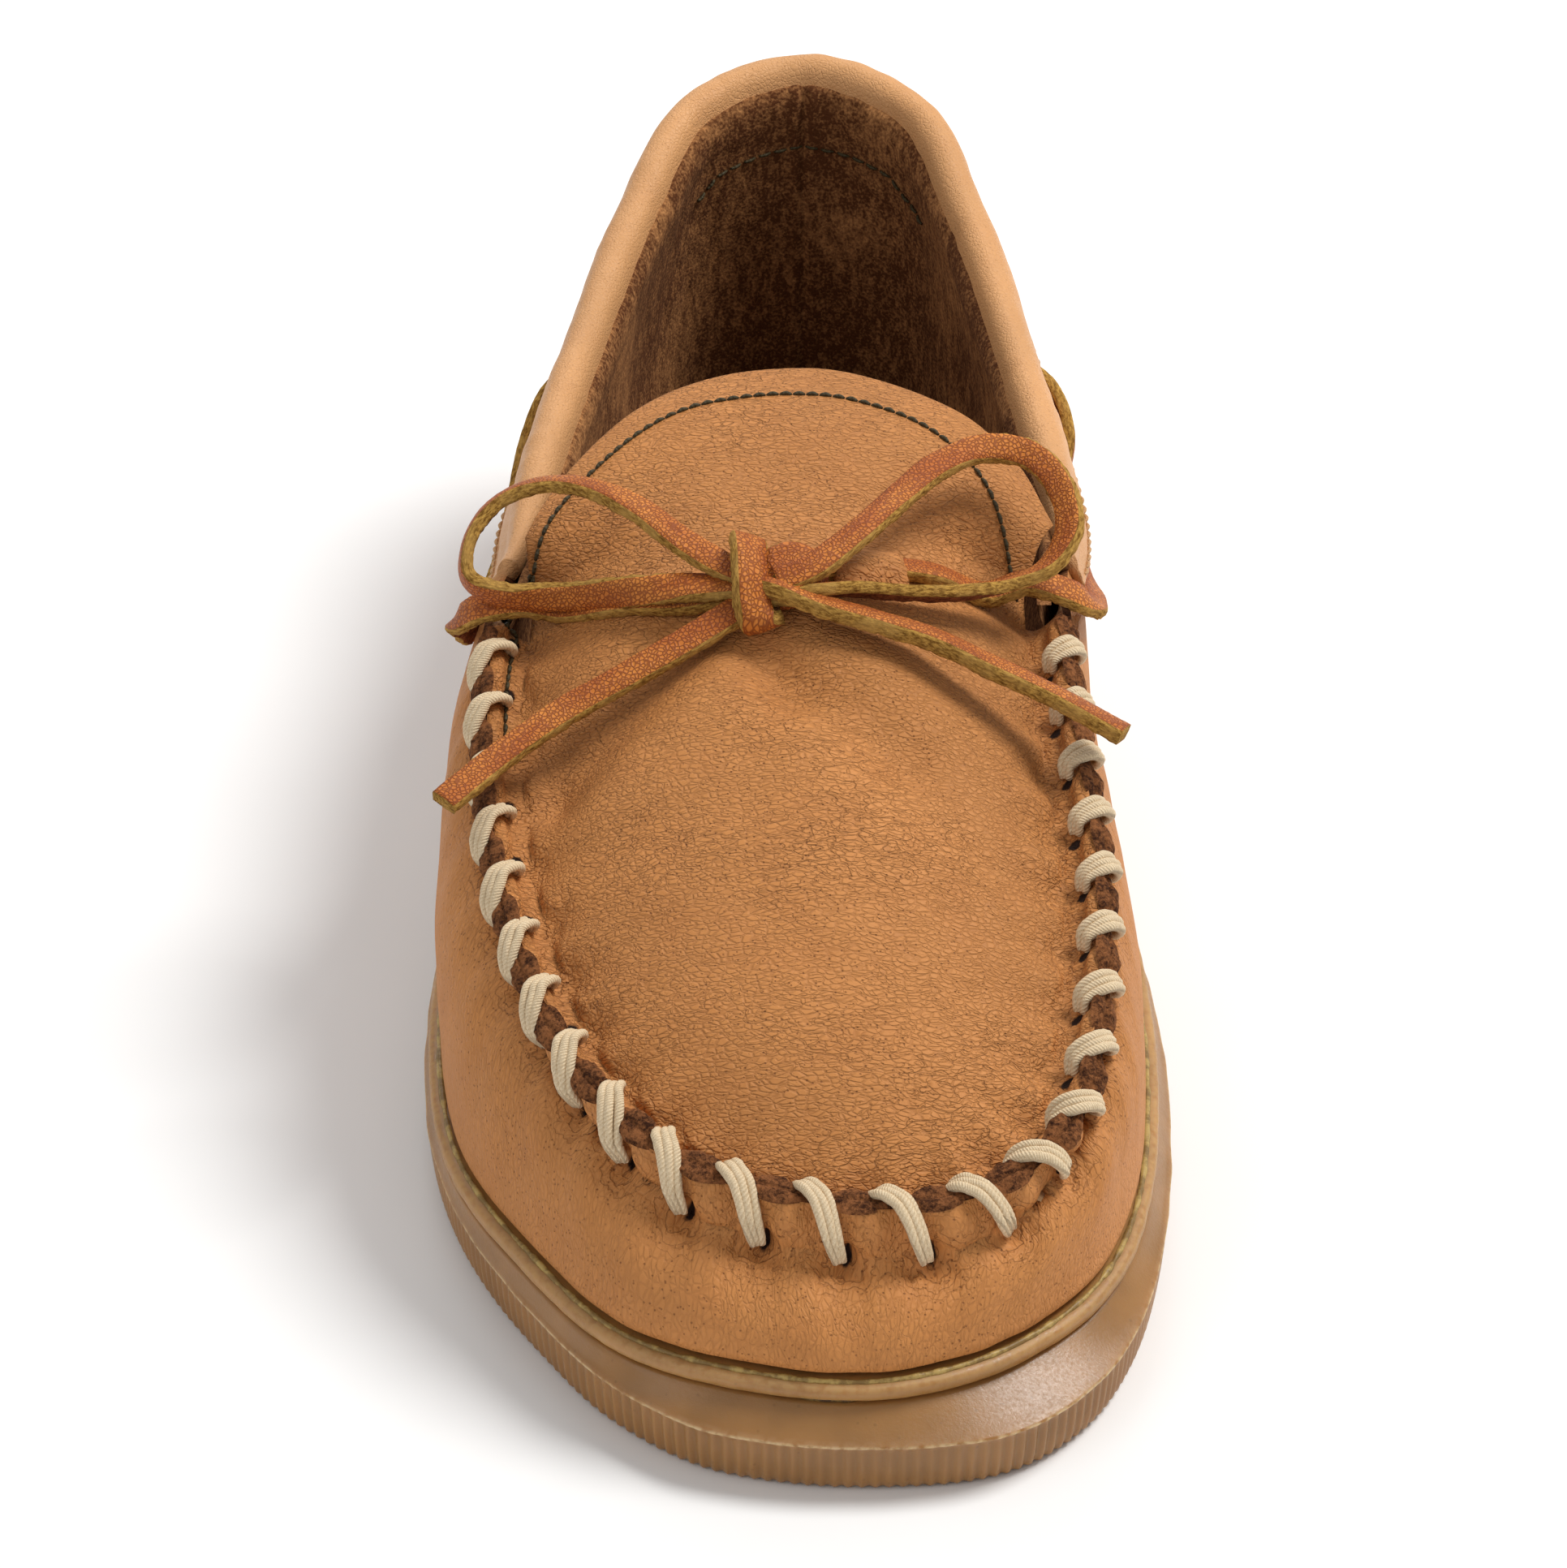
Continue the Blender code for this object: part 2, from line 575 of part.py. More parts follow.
def build_ridge_thread(vamp, plug, materials, collection, cutters):
    route = ridge_thread_route()
    add_tube("ridge_thread", route, THREAD_RADIUS, 0, materials["thread"], collection)
    cutter = add_tube("thread_cutter", route, THREAD_HOLE_RADIUS, 0, None, cutters)
    cut(vamp, cutter)
    cut(plug, cutter)


# ---------------------------------------------------------------- lace

def surface_tree(rows_list):
    """A tree for dropping points on to lofted surfaces, in millimetres."""
    verts, faces = [], []
    for rows in rows_list:
        start = len(verts)
        width = len(rows[0])
        verts += [Vector(point) for row in rows for point in row]
        for r in range(len(rows) - 1):
            for c in range(width - 1):
                k = start + r * width + c
                faces.append((k, k + 1, k + width + 1, k + width))
    return BVHTree.FromPolygons(verts, faces)


def laid(tree, points, lift):
    """Points at (x, y) dropped on to the surface and raised by lift."""
    places = []
    for x, y in points:
        hit = tree.ray_cast(Vector((x, y, 200)), Vector((0, 0, -1)))[0]
        places.append((x, y, hit.z + lift))
    return places


def collar_side(station, out, up):
    """A point beside the collar at a fractional station of the top line."""
    return tuple(beside_wall(samples(station, station)[0], out, up))


def build_lace(tree, cover, materials, collection, cutters):
    """Knot, two bow loops, two tails, two side runs and the hidden run round the heel."""
    lace = materials["lace_leather"]
    up = (0, 0, 1)
    knot_base = laid(tree, [KNOT_CENTRE], 0)[0][2]
    knot_z = knot_base + KNOT_HALF[2] + KNOT_LIFT
    build_knot(knot_z, lace, collection)

    def strip(name, points, faces):
        route = smooth_curve(points, False, 4)
        sides = evenly_mixed(faces, 4)
        add_strip(name, route, sides, LACE_WIDTH, LACE_THICKNESS, lace, collection)

    over_lateral = laid(tree, [(-12.8, -18.6), (-22, -15), (-31, -12.4)], LACE_REST + 0.4)
    over_lateral += [(-39.5, -11.2, 65), (-46, -10.4, 64.4), (-50.2, -7.6, 60.6), (-51.4, -1, 55)]
    back_lateral = [collar_side(s, out, up) for s, out, up in (
        (5, 4, -11.6), (4.33, 2.8, -12.4), (3.67, 7.4, -6.4), (SLIT_LATERAL, 5.2, -2.8))]
    faces = [up, (-0.2, 0, 1), (-0.4, 0, 1), (-0.4, 0, 1), (-0.75, 0, 0.9), (-1, 0, 0.4), (-1, 0.05, 0)]
    faces += [(-1, 0, 0)] * 4
    strip("lace_side_lateral", over_lateral + back_lateral, faces)

    over_medial = laid(tree, [(2.8, -16.6), (11, -14), (20, -10.6), (27, -8)], LACE_REST + 0.7)
    over_medial += [(34, -6.6, 65.2), (40.6, -5.4, 64.6), (45.6, -2.8, 60.6), (47.2, 4, 55)]
    back_medial = [collar_side(s, out, up) for s, out, up in (
        (19.33, 4, -11.6), (20, 2.8, -12.4), (20.33, 7.4, -6.4), (SLIT_MEDIAL, 5.2, -2.8))]
    faces = [up, (0.1, 0, 1), (0.3, 0, 1), (0.4, 0, 1), (0.4, 0, 1), (0.75, 0, 0.9), (1, 0, 0.4)]
    faces += [(1, 0.05, 0)] + [(1, 0, 0)] * 4
    strip("lace_side_medial", over_medial + back_medial, faces)

    tunnel = samples(21, HEEL + 3)
    route = np.array([beside_wall(i, *TUNNEL_MIDDLE) for i in tunnel])
    add_strip("lace_heel_run", route, TOP_OUT[tunnel], LACE_WIDTH, LACE_THICKNESS, lace, collection)
    for side, station in (("lateral", SLIT_LATERAL), ("medial", SLIT_MEDIAL)):
        build_slit(side, samples(station, station)[0], cover, cutters)

    top = knot_z + 1.2
    strip("bow_loop_lateral",
          [(-12.8, -15.6, top + 4.6), (-20, -9, 80.4), (-29, -1.5, 80.2), (-38, 1.5, 79.4),
           (-45.5, -2, 77), (-48, -7, 74), (-44, -9.6, 71.6), (-34, -10.6, 72), (-22, -12.6, 73.6),
           (-13.6, -14.6, top + 0.4)],
          [(0.3, -0.3, 1), (0.5, -0.6, 1), (0.4, -1, 0.8), (0, -1, 0.4), (0.9, -0.7, 0.2), (1, 0.3, 0),
           (0.4, 1, -0.2), (0, 1, -0.3), (0, 0.8, -0.7), (0, 0.5, -1)])
    strip("bow_loop_medial",
          [(2.8, -14.6, top + 4.6), (11, -8, 80.6), (20, 0, 81), (29, 5, 81), (36.5, 3.5, 80.2),
           (40.5, -2, 77.4), (37, -6.5, 74.6), (27, -8.6, 74.2), (15, -11, 75), (3.4, -13.4, top + 0.4)],
          [(-0.3, -0.3, 1), (-0.5, -0.6, 1), (-0.4, -1, 0.8), (0, -1, 0.4), (-0.9, -0.7, 0.2), (-1, 0.3, 0),
           (-0.4, 1, -0.2), (0, 1, -0.3), (0, 0.8, -0.7), (0, 0.5, -1)])
    tail = laid(tree, [(-20, -32.5), (-28, -35.5), (-35, -38.5)], LACE_REST + 0.5)
    strip("lace_tail_lateral", [(-12.4, -27.6, knot_z)] + tail + [(-43, -46, 56.8), (-49.6, -52.6, 54.4)],
          [up, (-0.2, 0, 1), (-0.3, 0, 1), (-0.3, 0, 1), (0, -0.1, 1), (0, -0.1, 1)])
    tail = laid(tree, [(10.5, -26.2), (19, -27.6), (27, -29)], LACE_REST + 0.5)
    strip("lace_tail_medial", [(2.4, -25, knot_z)] + tail + [(36, -33.5, 60.6), (45.2, -39, 58.6)],
          [up, (0.2, 0, 1), (0.3, 0, 1), (0.3, 0, 1), (0.1, -0.1, 1), (0, -0.1, 1)])


def build_knot(height, material, collection):
    """A rounded knot from a coarse cage."""
    bm = bmesh.new()
    bmesh.ops.create_cube(bm, size=2)
    half = np.array(KNOT_HALF) * MM
    centre = np.array([*KNOT_CENTRE, height]) * MM
    for vert in bm.verts:
        vert.co = Vector(np.array(vert.co) * half * KNOT_CAGE + centre)
    mesh = bpy.data.meshes.new("lace_knot")
    bm.to_mesh(mesh)
    bm.free()
    knot = add_object("lace_knot", mesh, material, collection)
    rounding = knot.modifiers.new("rounding", "SUBSURF")
    rounding.levels = 2
    rounding.render_levels = 2


def build_slit(side, i, cover, cutters):
    """A slit through the collar cover, where the lace goes into its tunnel."""
    bm = bmesh.new()
    bmesh.ops.create_cube(bm, size=1)
    directions = np.array([np.cross(TOP_OUT[i], UP), TOP_OUT[i], UP])
    middle = beside_wall(i, *SLIT_MIDDLE)
    for vert in bm.verts:
        offset = (np.array(vert.co) * SLIT_SIZE) @ directions
        vert.co = Vector((middle + offset) * MM)
    bmesh.ops.recalc_face_normals(bm, faces=bm.faces)
    mesh = bpy.data.meshes.new("slit_" + side)
    bm.to_mesh(mesh)
    bm.free()
    cut(cover, add_object("slit_" + side, mesh, None, cutters))


# ---------------------------------------------------------------- whole shoe

def clear_scene():
    for thing in list(bpy.data.objects):
        bpy.data.objects.remove(thing)


def new_collection(name):
    collection = bpy.data.collections.new(name)
    bpy.context.scene.collection.children.link(collection)
    return collection


def main():
    clear_scene()
    shoe, cutters = new_collection("moccasin"), new_collection("cutters")
    materials = {name: new_material(name) for name in COLOURS}
    build_sole(materials, shoe)
    build_footbed(materials, shoe)
    vamp = build_vamp(materials, shoe)
    plug_rows = plug_grid()
    plug = build_plug(plug_rows, materials, shoe)
    tongue_rows = tongue_grid(plug_rows[-1])
    build_tongue(tongue_rows, materials, shoe)
    build_quarters(materials, shoe)
    cover = build_collar(materials, shoe)
    build_ridge_thread(vamp, plug, materials, shoe, cutters)
    build_lace(surface_tree([plug_rows, tongue_rows]), cover, materials, shoe, cutters)


main()
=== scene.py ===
"""Looks of the leather moccasin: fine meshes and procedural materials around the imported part.

Lengths are in millimetres until a mesh is made.  The toe points along -Y and +X is the inner
(medial) side of the foot.  The upper's driving lines are the part's own, sampled more finely:
a foot line and a top line that share one set of stations, counted from the heel along the
lateral side, round the toe and back along the medial side.
"""

import math

import bmesh
import bpy
import numpy as np
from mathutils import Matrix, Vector, noise
from mathutils.bvhtree import BVHTree

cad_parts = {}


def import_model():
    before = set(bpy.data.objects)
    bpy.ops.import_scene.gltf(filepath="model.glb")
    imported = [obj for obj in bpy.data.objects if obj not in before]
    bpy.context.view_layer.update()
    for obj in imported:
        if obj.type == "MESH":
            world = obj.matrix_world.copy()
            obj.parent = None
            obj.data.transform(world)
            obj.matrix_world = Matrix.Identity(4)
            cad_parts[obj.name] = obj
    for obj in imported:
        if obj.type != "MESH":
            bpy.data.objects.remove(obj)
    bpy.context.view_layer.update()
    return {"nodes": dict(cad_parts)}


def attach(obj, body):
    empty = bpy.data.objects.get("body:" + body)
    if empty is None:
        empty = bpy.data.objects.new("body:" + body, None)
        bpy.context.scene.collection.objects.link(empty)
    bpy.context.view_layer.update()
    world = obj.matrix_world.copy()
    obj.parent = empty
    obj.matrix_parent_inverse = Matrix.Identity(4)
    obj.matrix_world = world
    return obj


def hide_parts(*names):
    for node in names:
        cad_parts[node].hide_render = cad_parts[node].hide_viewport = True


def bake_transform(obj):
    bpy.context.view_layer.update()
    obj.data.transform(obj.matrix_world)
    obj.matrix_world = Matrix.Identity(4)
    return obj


MM = 0.001
UP = np.array([0, 0, 1.0])

# ---------------------------------------------------------------- the part's dimensions

GAP = 0.35
OUTSOLE_TOP = 11.8
MIDSOLE_TOP = 14.6
UPPER_BASE = MIDSOLE_TOP + GAP
LEATHER = 1.5
SOCK_TOP = 22.2
SOLE_OUTLINE = [
    (0, 138.3), (-24.5, 129), (-35, 104), (-39.5, 72), (-47, 34), (-52.5, -4), (-54.5, -30),
    (-54.5, -52), (-52.9, -69), (-49.4, -83), (-43.8, -96.5), (-36, -110), (-26.2, -123.7),
    (-13.2, -134), (0, -137.7), (13, -138.3), (26, -136.6), (34, -132.6), (42.4, -123.6),
    (48.2, -111.2), (52, -95.5), (54.2, -74), (54.5, -52), (52.5, -28), (48, -4), (41.5, 34),
    (37, 72), (34, 104), (24.5, 129)]
RIM_OVERHANG = 1.9
STATIONS = [
    ((0, 133.5), (0, 133, 74)), ((-20.5, 126.4), (-18, 124, 71.5)),
    ((-30.8, 105), (-27, 102, 65)), ((-35.5, 75), (-33.3, 76, 59.5)),
    ((-43, 40), (-38.8, 44, 57)), ((-48.9, 4), (-42.5, 14, 57)),
    ((-51.2, -26), (-45.8, -13, 60.5)), ((-51.8, -54), (-45.6, -42, 54)),
    ((-47.6, -82.5), (-41, -69, 47)), ((-37.2, -103.2), (-31.4, -93.6, 41)),
    ((-22.5, -122.4), (-16.4, -110, 36.7)), ((-4, -130.4), (-3, -115.7, 35.2)),
    ((12, -131.8), (12.4, -118, 34.6)), ((27.6, -125.8), (27.8, -114.6, 35.5)),
    ((41.2, -111.8), (39.2, -103, 38.7)), ((48, -93), (43.2, -86.2, 43)),
    ((50.7, -63), (44.3, -60, 49.6)), ((49.8, -33), (42, -36, 55.5)),
    ((46, -5), (40, -8, 60)), ((40.4, 26), (40.6, 16, 57)),
    ((36.2, 56), (37.2, 48, 57)), ((33.5, 84), (32.7, 76, 59.5)),
    ((29.6, 106), (26.8, 102, 65)), ((20.5, 126.4), (18, 124, 71.5))]
THROAT_LATERAL, THROAT_MEDIAL = 6, 18
PLUG_CORNER_LATERAL, PLUG_CORNER_MEDIAL = 10, 14
HEEL = len(STATIONS)
STITCH_COUNT = 24
STITCH_MARGIN = 3.0
LASTING_MARGIN = [(9, 0), (4, 0), (1.2, 0.25), (0.2, 1)]  # inward and up from the foot line
WALL_START = 2.2
VAMP_SWELL = -1.0
QUARTER_SWELL = 1.4
PLUG_CROWN = 15.0
PLUG_FULLNESS = 5.0
THROAT_SETBACK = np.array([0, 6.5, 2.4])
TONGUE_EDGE = [
    (-40.6, -2.2, 69.2), (-39, 2, 71), (-35.4, 9, 73), (-29.6, 16.6, 75.5),
    (-22.4, 23.6, 77.6), (-14, 28, 78.7), (-5, 30.2, 79.2), (4, 30.6, 79.4),
    (12, 29.2, 79), (19, 25.6, 78), (26, 20.4, 76.4), (32.4, 13.4, 73.2), (38, 4.4, 67.6)]
TONGUE_ARCH = 2.5
COLLAR_FRONT_LATERAL, COLLAR_FRONT_MEDIAL = 5.33, 18.67
LACE_WIDTH = 4.4
LACE_THICKNESS = 2.0
KNOT_CENTRE = (-5, -21.5)

FINE = 32  # samples a station


# ---------------------------------------------------------------- curves and small maths

def mix(a, b, t):
    return a * (1 - t) + b * t


def ease(x):
    """Smooth step from 0 to 1."""
    t = np.clip(x, 0, 1)
    return t * t * (3 - 2 * t)


def bell(x, width):
    return np.exp(-(np.asarray(x, float) / width) ** 2)


def unit(vectors):
    v = np.asarray(vectors, float)
    return v / np.linalg.norm(v, axis=-1, keepdims=True)


def smooth_curve(points, closed, per_span):
    """Points on a centripetal Catmull-Rom curve, per_span steps between control points."""
    pts = np.asarray(points, float)
    if closed:
        ring = np.vstack([pts[-1], pts, pts[0], pts[1]])
    else:
        ring = np.vstack([2 * pts[0] - pts[1], pts, 2 * pts[-1] - pts[-2]])
    share = np.arange(per_span)[:, None] / per_span
    curve = []
    for i in range(1, len(ring) - 2):
        p = ring[i - 1:i + 3]
        knots = np.concatenate([[0], np.cumsum(np.sqrt(np.linalg.norm(np.diff(p, axis=0), axis=1)))])
        t = mix(knots[1], knots[2], share)
        a = [mix(p[k], p[k + 1], (t - knots[k]) / (knots[k + 1] - knots[k])) for k in range(3)]
        b = [mix(a[k], a[k + 1], (t - knots[k]) / (knots[k + 2] - knots[k])) for k in range(2)]
        curve.append(mix(b[0], b[1], (t - knots[1]) / (knots[2] - knots[1])))
    if not closed:
        curve.append(pts[-1:])
    return np.vstack(curve)


def run_along(points):
    return np.concatenate([[0], np.cumsum(np.linalg.norm(np.diff(points, axis=0), axis=1))])


def read_off(places, run, table):
    """Rows of a table mixed at some places along its run."""
    return np.stack([np.interp(places, run, column) for column in np.asarray(table, float).T], axis=1)


def resample(points, count):
    """The same open curve with count points spaced evenly along it."""
    run = run_along(np.asarray(points, float))
    return read_off(np.linspace(0, run[-1], count), run, points)


def evenly_mixed(vectors, count):
    """Vectors mixed from one to the next, count of them in all."""
    return read_off(np.linspace(0, len(vectors) - 1, count), range(len(vectors)), vectors)


def level_normals(points):
    """Horizontal outward normals of a closed line that runs lateral side, toe, medial side."""
    tangent = np.roll(points, -1, axis=0) - np.roll(points, 1, axis=0)
    return unit(np.stack([tangent[:, 1], -tangent[:, 0], np.zeros(len(points))], axis=1))


def surface_normals(rows):
    """Normals of a grid of points, on the side that grid_mesh makes its faces look to."""
    grid = np.asarray(rows, float)
    normals = np.cross(np.gradient(grid, axis=1), np.gradient(grid, axis=0))
    return normals / np.maximum(np.linalg.norm(normals, axis=-1, keepdims=True), 1e-9)


def roughness_field(points, size, seed):
    """Smooth noise between about -1 and 1 at each point, with features of a given size."""
    pts = np.asarray(points, float)
    flat = pts.reshape(-1, 3) / size + seed * 17.3
    return np.array([noise.noise(Vector(p)) for p in flat]).reshape(pts.shape[:-1]) * 1.6


def roughness(points, *layers):
    """Fields added up; each layer is its amount, the size of its features and its seed."""
    return sum(amount * roughness_field(points, size, seed) for amount, size, seed in layers)


def butted_seam(away, depth, width, rise, place, spread):
    """Section across a butted seam: a groove with a raised lip on each side."""
    return -depth * bell(away, width) + rise * bell(away - place, spread)


# ---------------------------------------------------------------- the upper's lines

FOOT = smooth_curve([(x, y, UPPER_BASE) for (x, y), _ in STATIONS], True, FINE)
TOP = smooth_curve([point for _, point in STATIONS], True, FINE)
FOOT_OUT = level_normals(FOOT)
TOP_OUT = level_normals(TOP)


def samples(start, end):
    """Sample numbers from one station to another, wrapping round the heel."""
    first, last = round(start * FINE), round(end * FINE)
    return np.arange(first, last + 1) % (HEEL * FINE)


RIDGE = samples(THROAT_LATERAL, THROAT_MEDIAL)
RIDGE_RUN = run_along(TOP[RIDGE])
STITCH_PITCH = (RIDGE_RUN[-1] - 2 * STITCH_MARGIN) / STITCH_COUNT
OVER_TOP = 0.47  # share of a pitch at which a stitch crosses the ridge
SLANT_WIDE, SLANT_NARROW = 0.8, 0.5  # shares of a pitch from a stitch's inner to its outer hole
SLANT_TURN = (15.0, 19.0)  # stitches over which the wide slant gives way to the narrow one


def stitch_phase(i):
    """How many stitches along the ridge a sample is, from its lateral end."""
    run = np.interp(i, RIDGE, RIDGE_RUN)
    return (run - STITCH_MARGIN) / STITCH_PITCH


def slant(phase):
    """Share of a pitch that a stitch leans over between its two holes."""
    start, end = SLANT_TURN
    return mix(SLANT_WIDE, SLANT_NARROW, ease((phase - start) / (end - start)))


def inner_hole(phase):
    return OVER_TOP - slant(phase) / 2


def outer_hole(phase):
    return OVER_TOP + slant(phase) / 2


def from_hole(phase, hole):
    """Distance in millimetres along the ridge from the nearest hole of a kind."""
    return ((phase - hole + 0.5) % 1 - 0.5) * STITCH_PITCH


def frontness(i):
    """0 along the shoe's sides and 1 at the toe."""
    return np.clip(-TOP_OUT[i][..., 1], 0, 1) ** 1.5


# Visual ridge: the two leathers' cut edges side by side, leaning outward along the sides.
EDGE_HALF = 1.6
EDGE_DIP = 0.6  # how far each stitch pulls the cut edges down
PINCH_WIDTH = 2.9
LEAN_SIDE, LEAN_FRONT = math.radians(46), math.radians(8)
INNER_DEPTH = (3.4, 3.2)  # from cut edge to inner holes, at the sides and at the front
OUTER_DEPTH = (2.8, 7.2)
OUTER_REACH = (0.0, 3.0)  # how far out from the ridge the outer holes are drawn
PLUG_RIM_SIDE, PLUG_RIM_FRONT = np.array([-6.2, -2.8]), np.array([-3.8, -3.8])
VAMP_RIM_SIDE, VAMP_RIM_FRONT = np.array([1.5, -4.4]), np.array([4.8, -8.6])


def ridge_frame(i):
    """(across, along) unit directions of the ridge's section at samples i, as (side, height) pairs."""
    lean = mix(LEAN_SIDE, LEAN_FRONT, frontness(i))
    across = np.stack([np.cos(lean), -np.sin(lean)], axis=-1)
    along = np.stack([np.sin(lean), np.cos(lean)], axis=-1)
    return across, along


def in_space(i, section):
    """Points of the ridge's section, given as (side, height) from the top line, in space."""
    shape = (len(i),) + (1,) * (section.ndim - 2) + (3,)
    return TOP[i].reshape(shape) + TOP_OUT[i].reshape(shape) * section[..., 0:1] + UP * section[..., 1:2]


def between_samples(at, section):
    """The same at places between the ridge's samples."""
    top, out = read_off(at, RIDGE, TOP[RIDGE]), unit(read_off(at, RIDGE, TOP_OUT[RIDGE]))
    return top + out * section[:, 0:1] + UP * section[:, 1:2]


def outer_hole_depth(front):
    """Distance down the leather's face from the cut edge to the outer holes."""
    return np.hypot(mix(*OUTER_DEPTH, front), mix(*OUTER_REACH, front))


def pinch(phase):
    """1 where a stitch crosses the ridge and 0 between stitches."""
    return bell(from_hole(phase, OVER_TOP), PINCH_WIDTH)


def edge_half(tight):
    """Half width of the two cut edges, drawn together under each stitch."""
    return EDGE_HALF * (1 - 0.4 * tight)


# ---------------------------------------------------------------- meshes

def finish_mesh(name, mesh, materials, body, places=None):
    """Object from a mesh, riding on a body if one is given, its rest places stored for the materials."""
    thing = bpy.data.objects.new(name, mesh)
    bpy.context.scene.collection.objects.link(thing)
    for material in materials:
        mesh.materials.append(material)
    co = np.zeros(len(mesh.vertices) * 3, np.float32)
    mesh.vertices.foreach_get("co", co)
    add_vector(mesh, "rest", co / MM if places is None else places)
    mesh.shade_smooth()
    if body:
        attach(thing, body)
    return thing


def grid_mesh(name, rows, closed_columns=False, caps=False, flip=False):
    """A lofted surface through rows of points, in metres."""
    rows = np.asarray(rows, float)
    count, width = rows.shape[:2]
    verts = (rows.reshape(-1, 3) * MM).tolist()
    index = np.arange(count * width).reshape(count, width)
    if closed_columns:
        index = np.hstack([index, index[:, :1]])
    quads = np.stack([index[:-1, :-1], index[:-1, 1:], index[1:, 1:], index[1:, :-1]], axis=-1)
    faces = quads.reshape(-1, 4)
    if flip:
        faces = faces[:, ::-1]
    faces = faces.tolist()
    if caps:
        ends = [list(range(width))[::-1], list(range((count - 1) * width, count * width))]
        faces += [end[::-1] for end in ends] if flip else ends
    mesh = bpy.data.meshes.new(name)
    mesh.from_pydata(verts, [], faces)
    return mesh


def add_value(mesh, name, values):
    """A number for each vertex, for the materials to read."""
    layer = mesh.attributes.new(name, "FLOAT", "POINT")
    layer.data.foreach_set("value", np.asarray(values, np.float32).ravel())


def add_vector(mesh, name, vectors):
    """A place or direction for each vertex, for the materials to read."""
    layer = mesh.attributes.new(name, "FLOAT_VECTOR", "POINT")
    layer.data.foreach_set("vector", np.asarray(vectors, np.float32).ravel())


def thicken(thing, thickness):
    """Give an outer face its thickness; its second material is the inside's and its third the edge's."""
    solidify = thing.modifiers.new("thickness", "SOLIDIFY")
    solidify.thickness = thickness * MM
    solidify.offset = -1
    solidify.material_offset = 1
    solidify.material_offset_rim = 2


def tube_rows(route, radius, sides, up=None):
    """Rings round a route."""
    route = np.asarray(route, float)
    tangent = unit(np.gradient(route, axis=0))
    upright = np.tile(UP, (len(route), 1)) if up is None else np.asarray(up, float)
    across = unit(np.cross(tangent, upright))
    lift = np.cross(across, tangent)
    angle = np.linspace(0, 2 * math.pi, sides, endpoint=False)
    radius = np.broadcast_to(np.asarray(radius, float), (len(route),))[:, None, None]
    turn = np.cos(angle)[None, :, None], np.sin(angle)[None, :, None]
    return route[:, None] + (across[:, None] * turn[0] + lift[:, None] * turn[1]) * radius


def join_meshes(name, meshes):
    """One mesh from several; their vertex attributes are kept."""
    bm = bmesh.new()
    for mesh in meshes:
        bm.from_mesh(mesh)
        bpy.data.meshes.remove(mesh)
    joined = bpy.data.meshes.new(name)
    bm.to_mesh(joined)
    bm.free()
    return joined


# ---------------------------------------------------------------- upper: the wall

BEZIER_ROWS, FLANGE_ROWS = 44, 11
FLANGE_FADE = 0.5  # stations over which the ridge dies out behind the throat's ends
FACE_HANDLE, TOP_HANDLE, TOP_DROP = 0.5, 0.5, 0.3  # how strongly the wall's curve leaves each end
PLEAT_HEIGHT, PLEAT_DROP, PLEAT_WIDTH, PLEAT_REACH = 1.9, 1.0, 2.7, 6.5  # fullness between holes
SPLIT_DEPTH, SPLIT_REACH = 0.9, 4.5  # creases on both sides of each hole
FACE_SWELL, TOE_SWELL = 0.5, 1.1
SLACK = [(0.55, 30, 1), (0.25, 11, 2)]  # height, size and seed of the leather's unevenness
SEAM_RUN = 20.0  # millimetres a station at the heel
# Depth and width of each seam's groove, then height, place and width of its lips.
BACK_SEAM = (0.55, 0.9, 0.3, 2.4, 1.3)
LINING_SEAM = (0.5, 0.8, 0.35, 2.2, 1.2)
HOLE_DEPTH = 1.3


def wall_curve(i, end, steps, swell):
    """Outer face from the lasting margin up to given end points, as rows by columns of points."""
    foot, out = FOOT[i], FOOT_OUT[i]
    start = foot + UP * WALL_START
    rise = (end - start)[:, 2:3]
    reach = np.linalg.norm((end - start)[:, :2], axis=1, keepdims=True)
    steep = rise / (rise + reach)
    low = start + UP * rise * FACE_HANDLE + out * swell
    high = end + TOP_OUT[i] * reach * TOP_HANDLE - UP * rise * TOP_DROP * steep
    t = np.linspace(0, 1, steps + 1)[None, 1:, None]
    curve = ((1 - t) ** 3 * start[:, None] + 3 * (1 - t) ** 2 * t * low[:, None]
             + 3 * (1 - t) * t ** 2 * high[:, None] + t ** 3 * end[:, None])
    margin = [foot - out * inward + UP * height for inward, height in LASTING_MARGIN] + [start]
    return np.concatenate([np.stack(margin, axis=1), curve], axis=1)


def outer_face(i, phase, depths):
    """Section of the vamp's flange at some depths below the cut edge, which bulges between stitches."""
    across, along = ridge_frame(i)
    tight = pinch(phase)
    deepest = mix(*OUTER_DEPTH, frontness(i))
    reach = mix(*OUTER_REACH, frontness(i))
    half = edge_half(tight)
    swell = FACE_SWELL + TOE_SWELL * frontness(i)
    section = []
    for share in depths:
        bulge = swell * math.sin(math.pi * share) * (1 - tight) - 0.25 * tight * share
        point = across * (half + bulge)[:, None] - along * (deepest * share + EDGE_DIP * tight)[:, None]
        section.append(point + np.array([1.0, 0]) * (reach * share ** 1.4)[:, None])
    return np.stack(section, axis=1)


